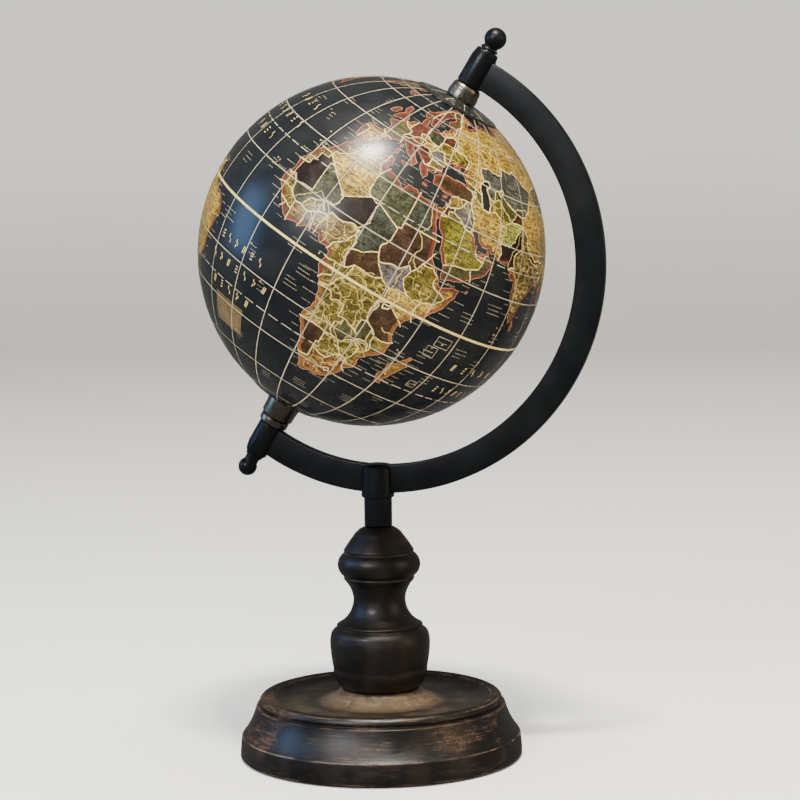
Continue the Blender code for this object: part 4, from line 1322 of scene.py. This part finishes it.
def make_land(rings, lakes, borders, material):
    """The tinted land, without the triangles that are water."""
    places, triangles, region, count = land_regions(rings, lakes, borders)
    tints = region_tints(places, triangles, region, count, rings, lakes)
    kept = [i for i in range(len(triangles)) if tints[region[i]] is not None]
    units = directions(places)
    used = sorted({corner for i in kept for corner in triangles[i]})
    renumbered = {old: new for new, old in enumerate(used)}
    faces = [tuple(renumbered[c] for c in triangles[i]) for i in kept]
    colours = [tints[region[i]] for i in kept]
    layer_piece("land_tints", on_globe(units[used], LAND_R), faces, units[used], colours, material)


def band_colour(ring_name, place):
    """Coasts are banded in rust red, and in orange brown round southern Africa, the Horn and Madagascar."""
    longitude, latitude = place
    southern = ring_name in ("africa", "madagascar") and latitude < (9 if longitude > 30 else -6)
    return BAND_ORANGE if southern else BAND_RUST


def make_bands(rings, lakes, material):
    """A narrow tinted band inside every coast, and a cream line round every lake."""
    layer = Layer(BAND_R)
    for name, ring in rings.items():
        if name == "antarctica":
            continue
        width = AFRICAN_BAND if name in ("africa", "madagascar") else COAST_BAND
        sides = (1.0, 0.0) if signed_area(ring) > 0 else (0.0, 1.0)  # the land's side only
        for start in range(0, len(ring) - 1, 3):
            stretch = ring[start : start + 4]
            if len(stretch) > 1:
                layer.ribbon(stretch, width, band_colour(name, stretch[0]), sides)
    for lake in lakes.values():
        layer.ribbon(lake, LAKE_HALF, CREAM, closed=True)
    layer.piece("coast_bands", material)


def make_ink(borders, rivers, rings, material):
    """Borders, rivers and a fine line along every coast. A border's two ends are its overshoot."""
    layer = Layer(INK_R)
    for path in borders:
        layer.ribbon(path[1:-1], BORDER_HALF, CREAM)
    for path in rivers:
        layer.ribbon(path, RIVER_HALF, RIVER_CREAM)
    for ring in rings.values():
        layer.ribbon(ring, COAST_HALF, COAST_BROWN, closed=True)
    layer.piece("border_lines", material)


def make_graticule(material):
    """Meridians and parallels every 15 degrees, a bold equator, and dashed tropics and polar circles."""
    layer = Layer(GRID_R)
    for longitude in range(-180, 180, 15):
        layer.ribbon([(longitude, -72), (longitude, 72)], GRID_HALF, GREY_CREAM, longest=1.5)
    for latitude in range(-60, 61, 15):
        half, colour = (EQUATOR_HALF, CREAM) if latitude == 0 else (GRID_HALF, GREY_CREAM)
        layer.ribbon([(-180, latitude), (180, latitude)], half, colour, longest=1.5)
    for latitude in (-66.5, -23.5, 23.5, 66.5):
        for start in np.arange(-180, 180, 5.5):
            dash = [(start, latitude), (start + 4.0, latitude)]
            layer.ribbon(dash, GRID_HALF, GREY_CREAM, longest=1.5)
    layer.piece("graticule", material)


def make_cap_lines(material):
    """The meridians carried on over the pole caps, and a ring of short strokes round each."""
    layer = Layer(CAP_LINE_R)
    nearest = 72.2
    farthest = 77.8
    for pole, shift in ((1, 1.2), (-1, 1.0)):
        top = pole * farthest + shift
        foot = pole * nearest + shift
        for longitude in range(-180, 180, 30):
            layer.ribbon([(longitude, foot), (longitude, top)], CAP_MERIDIAN_HALF, GREY_CREAM, longest=1.0)
        for start in np.arange(-180, 180, 10.0):
            layer.ribbon([(start, foot), (start + 4.0, foot)], CAP_RING_HALF, GREY_CREAM)
    layer.piece("cap_lines", material)


def add_greeked_word(layer, longitude, latitude, length, dice, tall=0.105, colour=LABEL_CREAM):
    """A short word as a row of tiny strokes, too small to be letters."""
    at = longitude
    while at < longitude + length:
        stroke = dice.uniform(0.15, 0.7)
        layer.ribbon([(at, latitude), (at + stroke, latitude)], tall, colour)
        at += stroke + dice.uniform(0.14, 0.26)


def rectangle(west, south, east, north):
    return [(west, south), (east, south), (east, north), (west, north), (west, south)]


def make_labels(rings, material, dice):
    """Combs of greeked words along the coasts, words and insets in the open sea, and islets."""
    layer = Layer(INK_R)
    for name, spacing in LABELLED_COASTS:
        ring = rings[name]
        outward = 1.0 if signed_area(ring) < 0 else -1.0
        last = ring[0] + 99.0
        for index in range(1, len(ring) - 1):
            place = ring[index]
            if np.linalg.norm(place - last) < spacing or abs(place[1]) > 62:
                continue
            ahead = ring[index + 1] - ring[index - 1]
            normal = np.array((-ahead[1], ahead[0])) * outward / np.linalg.norm(ahead)
            if abs(normal[0]) < 0.35:
                continue
            length = dice.uniform(1.8, 4.2)
            start = place[0] + (0.7 if normal[0] > 0 else -0.7 - length)
            level = place[1] + normal[1] * 0.7
            spots = [(start + length * share, level) for share in (0.0, 0.5, 1.0)]
            if not any(inside(land, spot) for land in rings.values() for spot in spots):
                add_greeked_word(layer, start, level, length, dice)
                last = place
    for longitude, latitude, length in SEA_LABELS:
        for row in range(3):
            indent = dice.uniform(-0.6, 0.8)
            share = dice.uniform(0.6, 1.0)
            add_greeked_word(layer, longitude + indent, latitude - row * 1.25, length * share, dice)
    for west, south, east, north in INSETS:
        layer.ribbon(rectangle(west, south, east, north), INSET_HALF, GREY_CREAM)
        add_greeked_word(layer, west + 0.6, (south + north) / 2, (east - west) * 0.6, dice)
    for longitude, latitude in ISLANDS:
        wide = dice.uniform(0.35, 0.6)
        shore = [(longitude, latitude), (longitude + wide, latitude + 0.2)]
        layer.ribbon(shore, ISLAND_HALF, ISLAND_TAN)
    layer.piece("sea_labels", material)


def make_land_names(rings, material, dice):
    """Greeked dark names in rows all over the land, closer together than they could be read."""
    layer = Layer(INK_R)
    lands = [rings[name] for name in NAMED_LANDS]
    for latitude in np.arange(-54.0, 74.0, 1.7):
        longitude = -180 + dice.uniform(0.0, 3.0)
        while longitude < 176:
            length = dice.uniform(1.2, 3.8)
            spots = [(longitude + length * share, latitude) for share in (0.5, 0.0, 1.0)]
            if all(any(inside(ring, spot) for ring in lands) for spot in spots):
                level = latitude + dice.uniform(-0.5, 0.5)
                add_greeked_word(layer, longitude, level, length, dice, 0.17, LAND_NAME_INK)
            longitude += length + dice.uniform(0.6, 2.0)
    layer.piece("land_names", material)


def add_title(layer, count, west, east, latitude, tall):
    """A large title at sea as a row of abstract marks that aren't letters: their strokes never meet."""
    high = tall / MARK_SHAPE
    wide = high / math.cos(math.radians(latitude))
    for index in range(count):
        at = west + (east - west) * index / (count - 1)
        for stroke in TITLE_MARKS[(index + count) % len(TITLE_MARKS)]:
            pairs = (stroke[:2], stroke[2:])
            ends = [(at + (x - 0.5) * wide, latitude + (y - 0.5) * tall) for x, y in pairs]
            layer.ribbon(ends, TITLE_HALF, CREAM)


def make_titles(material):
    """Three rows of marks in each half of the Atlantic, and two in each of three other seas."""
    layer = Layer(TITLE_R)
    for title in TITLES:
        add_title(layer, *title)
    layer.piece("sea_titles", material)


def make_cartouche(material, dice):
    """The blank scroll in the southern ocean, a tan panel with a border and greeked lines."""
    west, south, east, north = -25.8, -38.6, -9.4, -28.6
    across, up = 11, 9
    places = [(x, y) for y in np.linspace(south, north, up) for x in np.linspace(west, east, across)]
    starts = [row * across + column for row in range(up - 1) for column in range(across - 1)]
    panel = Layer(BAND_R)
    panel.add(directions(places), [(i, i + 1, i + across + 1, i + across) for i in starts], PANEL_TAN)
    panel.piece("cartouche", material)
    writing = Layer(INK_R)
    inset = 0.5
    writing.ribbon(rectangle(west + inset, south + inset, east - inset, north - inset), 0.08, PANEL_EDGE)
    for level in np.arange(north - 1.8, south + 1.2, -1.15):
        add_greeked_word(writing, west + 1.6, level, (east - west) - 3.4, dice, 0.12, PANEL_INK)
    writing.piece("cartouche_lines", material)


def print_material(name, mottle, rough, engraved=0.0):
    """Ink on varnished paper: the layer's tint, mottled and foxed, under a clear coat.

    The dark specks are more by as much as engraved lowers the noise level where they start.
    """
    made, tree, shader = new_material(name, **VARNISH)
    tint = add_node(tree, "ShaderNodeVertexColor", layer_name="tint").outputs["Color"]
    cloud = noise(tree, 190, 5, 0.6, (1, 1, 1), 0.5)
    speck = noise(tree, 950, 3, 0.6, (1, 1, 1), 1.6)
    shade = between(tree, cloud, 0.34, 0.66, 1.0 - mottle, 1.0 + mottle * 0.5)
    tone = add_node(tree, "ShaderNodeCombineColor", {0: shade, 1: shade, 2: shade}).outputs[0]
    colour = mixed(tree, 1.0, tint, tone, "MULTIPLY")
    specks = between(tree, speck, 0.57 - engraved, 0.61 - engraved)
    ink = times(tree, specks, min(1.0, mottle * 1.6))
    dark = mixed(tree, 1.0, colour, (0.15, 0.13, 0.10), "MULTIPLY")
    colour = mixed(tree, ink, colour, dark)
    gloss = between(tree, cloud, 0.3, 0.7, rough * 0.85, rough * 1.2)
    wire(shader, base_color=colour, roughness=gloss)
    return made, tree, shader, colour, tint


def land_material():
    """The land's ink, with a web of fine pale lines and dark specks like small engraving."""
    made, tree, shader, colour, tint = print_material("land_print", 0.50, 0.36, 0.07)
    bent = add_node(tree, "ShaderNodeTexNoise", {"Vector": place(tree), "Scale": 330.0, "Detail": 4.0})
    moved = add_node(
        tree, "ShaderNodeMix", {0: 0.0050, 4: place(tree), 5: bent.outputs["Color"]}, data_type="VECTOR"
    ).outputs[1]
    cells = add_node(
        tree, "ShaderNodeTexVoronoi", {"Vector": moved, "Scale": 235.0}, feature="DISTANCE_TO_EDGE"
    ).outputs["Distance"]
    web = between(tree, cells, 0.015, 0.045, 1.0, 0.0)
    here = between(tree, noise(tree, 60, 3, 0.5), 0.36, 0.50)
    parts = add_node(tree, "ShaderNodeSeparateColor", {0: tint}).outputs
    yellow = math_node(tree, "SUBTRACT", parts[0], parts[2])
    # Only the yellow tints have the web, and the palest of them don't.
    webbed = times(tree, between(tree, yellow, 0.090, 0.110), between(tree, yellow, 0.38, 0.35))
    web = times(tree, web, times(tree, here, webbed))
    web = times(tree, web, 0.8)
    wire(shader, base_color=mixed(tree, web, colour, WEB_CREAM))
    return made


def ocean_material():
    """The sea's near-black ink, clouded and faintly speckled."""
    made, tree, shader = new_material("ocean_print", **VARNISH)
    cloud = noise(tree, 55, 5, 0.6, (1, 1, 1), 0.4)
    speck = noise(tree, 1700, 4, 0.7)
    colour = mixed(tree, between(tree, cloud, 0.35, 0.65), OCEAN_DEEP, OCEAN_WORN)
    colour = mixed(tree, between(tree, speck, 0.62, 0.76, 0.0, 0.3), colour, OCEAN_SPECK)
    wire(shader, base_color=colour, roughness=between(tree, cloud, 0.3, 0.7, 0.30, 0.40))
    return made


def cap_material():
    """The round caps at the poles: the map's dark paper again, smudged and speckled."""
    sockets = {"specular_ior_level": 0.3, "coat_weight": 0.3, "coat_roughness": 0.2}
    made, tree, shader = new_material("cap_print", **sockets)
    cloud = noise(tree, 170, 6, 0.65, (1, 1, 1), 1.2)
    colour = mixed(tree, between(tree, cloud, 0.48, 0.70), CAP_DARK, CAP_SMUDGE)
    speck = between(tree, noise(tree, 1500, 4, 0.7), 0.60, 0.74, 0.0, 0.4)
    colour = mixed(tree, speck, colour, CAP_SPECK)
    wire(shader, base_color=colour, roughness=between(tree, cloud, 0.3, 0.7, 0.30, 0.48))
    return made


def oval_point(radius, angle):
    """The radius and height of a point on the oval, at this angle from the pole."""
    return (radius * math.sin(angle), radius * math.cos(angle) * POLE_STRETCH)


def shell_outline():
    """A half shell from its pole hole down to the equator seam, and back up inside."""
    rings = 56
    seam = 0.04
    points = []
    for radius, order in ((OCEAN_R, 1), (OCEAN_R - 1.6, -1)):
        pole_angle = math.asin(POLE_HOLE_R / radius)
        rim_angle = math.acos(seam / (radius * POLE_STRETCH))
        angles = [pole_angle + (rim_angle - pole_angle) * i / rings for i in range(rings + 1)]
        points += [oval_point(radius, a) for a in angles[::order]]
    return points


def calotte_outline():
    """A thin domed disc on the globe round the pole hole, thinning to a rounded rim."""
    low_r = GLOBE_R + CALOTTE_LIFT
    high_r = low_r + CALOTTE_THICK
    points = []
    for radius, first, last in ((high_r, POLE_HOLE_R, CALOTTE_R - 0.7), (low_r, CALOTTE_R, POLE_HOLE_R)):
        start = math.asin(first / radius)
        span = math.asin(last / radius) - start
        points += [oval_point(radius, start + span * i / 12) for i in range(13)]
    return points


def closed_paths(texts, amount, dice):
    """Every named outline, roughened and closed on its first point. Antarctica's is left straight."""
    rings = {}
    for name, text in texts.items():
        path = path_of(text)
        aside = 0.0 if name == "antarctica" else amount
        rings[name] = roughened(np.concatenate((path, path[:1])), aside, 0.9, dice)
    return rings


def make_ball():
    """The half shells and the pole caps that the map is laid on."""
    ocean, cap = ocean_material(), cap_material()
    for name, points, material, steps, edge in (
        ("globe_north_shell_fine", shell_outline(), ocean, 224, 0.02),
        ("globe_south_shell_fine", below(shell_outline()), ocean, 224, 0.02),
        ("north_pole_calotte_fine", calotte_outline(), cap, 128, 0.1),
        ("south_pole_calotte_fine", below(calotte_outline()), cap, 128, 0.1),
    ):
        turned(name, points, material, "globe", AXLE_FRAME, steps, edge=edge)


def make_map():
    """Every printed layer. The order of the lines below is the order of the random draws."""
    dice = random.Random(MAP_SEED)
    rings = closed_paths(COASTS, 0.13, dice)
    lakes = closed_paths(LAKES, 0.1, dice)
    borders = drawn_lines(BORDERS, 0.10, 1.2, dice, BORDER_OVERSHOOT)
    rivers = drawn_lines(RIVERS, 0.16, 0.9, dice)
    ink = print_material("line_print", 0.18, 0.36)[0]
    make_land(list(rings.values()), list(lakes.values()), borders, land_material())
    make_bands(rings, lakes, ink)
    make_ink(borders, rivers, rings, ink)
    make_graticule(ink)
    make_cap_lines(ink)
    make_labels(rings, ink, dice)
    make_titles(ink)
    make_cartouche(ink, dice)
    make_land_names(rings, ink, dice)


# The room, in metres

STUDIO_WHITE = (0.86, 0.85, 0.82, 1.0)
STAND_AT = (0.0, 0.0, 0.05)
WARM_WHITE = (1.0, 0.98, 0.94)

# Each light's name, place, aim, size, watts and colour, and whether it shows in the gloss.
LIGHTS = (
    ("lamp_over_globe", (0.12, -0.36, 1.05), GLOBE_AT, (0.15, 0.10), 22.0, (1.0, 0.95, 0.86), True),
    ("window_left", (-0.95, -0.28, 0.46), GLOBE_AT, (0.36, 0.50), 3.8, (0.25, 0.52, 1.0), True),
    ("stand_glint", (-0.30, -0.90, 0.62), STAND_AT, (0.30, 0.16), 7.0, (0.94, 0.95, 1.0), True),
    ("right_glow", (1.10, -0.10, 0.40), STAND_AT, (0.4, 0.7), 2.6, (1.0, 0.76, 0.44), True),
    ("front_fill", (0.30, -1.90, 1.10), STAND_AT, (1.4, 1.4), 30.0, WARM_WHITE, False),
    ("overhead_fill", (0.20, 0.30, 2.40), STAND_AT, (2.4, 2.4), 60.0, WARM_WHITE, False),
)


def add_lights():
    for name, at, aim, size, watts, colour, glossy in LIGHTS:
        lamp = bpy.data.lights.new(name, "AREA")
        lamp.shape = "RECTANGLE"
        lamp.size, lamp.size_y = size
        lamp.energy = watts
        lamp.color = colour
        made = bpy.data.objects.new(name, lamp)
        bpy.context.scene.collection.objects.link(made)
        made.location = at
        made.rotation_euler = (Vector(aim) - Vector(at)).to_track_quat("-Z", "Y").to_euler()
        made.visible_glossy = glossy


def add_world():
    """A dim pale world that the camera sees bright, so that it adds little light of its own."""
    world = bpy.data.worlds.new("studio")
    world.use_nodes = True
    tree = world.node_tree
    background = tree.nodes["Background"]
    background.inputs["Color"].default_value = STUDIO_WHITE
    seen = add_node(tree, "ShaderNodeLightPath").outputs["Is Camera Ray"]
    tree.links.new(between(tree, seen, 0.0, 1.0, 0.24, 0.95), background.inputs["Strength"])
    bpy.context.scene.world = world


def add_floor():
    """A pale round floor that sweeps up into a wall far behind, the same from every side. Its sweep and wall
    glow as painted light, more with height.
    """
    reach, sweep, top = 2.6, 1.1, 2.6
    profile = [(0.0, 0.0), (reach, 0.0)]
    for step in range(1, 13):
        turn = math.radians(90 * step / 12)
        profile.append((reach + sweep * math.sin(turn), sweep * (1 - math.cos(turn))))
    profile.append((reach + sweep, top))
    shape = bmesh.new()
    corners = [shape.verts.new((radius, 0.0, height)) for radius, height in profile]
    links = [shape.edges.new(pair) for pair in zip(corners, corners[1:])]
    spin_round(shape, corners + links, 96)
    bmesh.ops.remove_doubles(shape, verts=shape.verts, dist=1e-6)
    mesh = bpy.data.meshes.new("floor")
    shape.to_mesh(mesh)
    shape.free()
    mesh.shade_smooth()
    floor = bpy.data.objects.new("floor", mesh)
    bpy.context.scene.collection.objects.link(floor)
    floor.location.z = -0.0002
    floor.visible_glossy = False
    made, tree, shader = new_material("floor_paper", roughness=0.9, specular_ior_level=0.1)
    cloud = noise(tree, 3, 3, 0.5)
    wire(shader, base_color=mixed(tree, cloud, (0.80, 0.79, 0.76), (0.83, 0.82, 0.79)))
    # Painted light: the sweep and wall glow, from none at the floor to full at 0.4 m up.
    height = add_node(tree, "ShaderNodeSeparateXYZ", {0: place(tree)}).outputs[2]
    shader.inputs["Emission Color"].default_value = STUDIO_WHITE
    wire(shader, emission_strength=between(tree, height, 0.0, 0.4, 0.0, 0.32))
    mesh.materials.append(made)


def add_camera():
    camera_data = bpy.data.cameras.new("camera")
    camera_data.lens = LENS_MM
    camera_data.sensor_width = 36.0
    camera_data.clip_start = 0.01
    camera = bpy.data.objects.new("camera", camera_data)
    bpy.context.scene.collection.objects.link(camera)
    yaw = Matrix.Rotation(math.radians(-CAMERA_YAW), 4, "Z")
    pitch = Matrix.Rotation(math.radians(90.0 - CAMERA_PITCH), 4, "X")
    roll = Matrix.Rotation(math.radians(-CAMERA_ROLL), 4, "Z")
    camera.matrix_world = Matrix.Translation(CAMERA_AT) @ yaw @ pitch @ roll
    bpy.context.scene.camera = camera


add_camera()
add_lights()
add_world()
add_floor()
black_paint = metal_material("black_paint", BLACK_PAINT, BLACK_PAINT_RUBBED, 0.36, 0.0, 1800, 0.25)
nickel_plate = metal_material("nickel_plate", NICKEL, NICKEL_RUBBED, 0.30, 1.0, 1300, 0.2)
make_base()
make_spindle()
make_post(black_paint)
make_arc(black_paint)
make_axle_pieces(black_paint, nickel_plate)
dress_hidden_nodes(black_paint)
make_ball()
make_map()
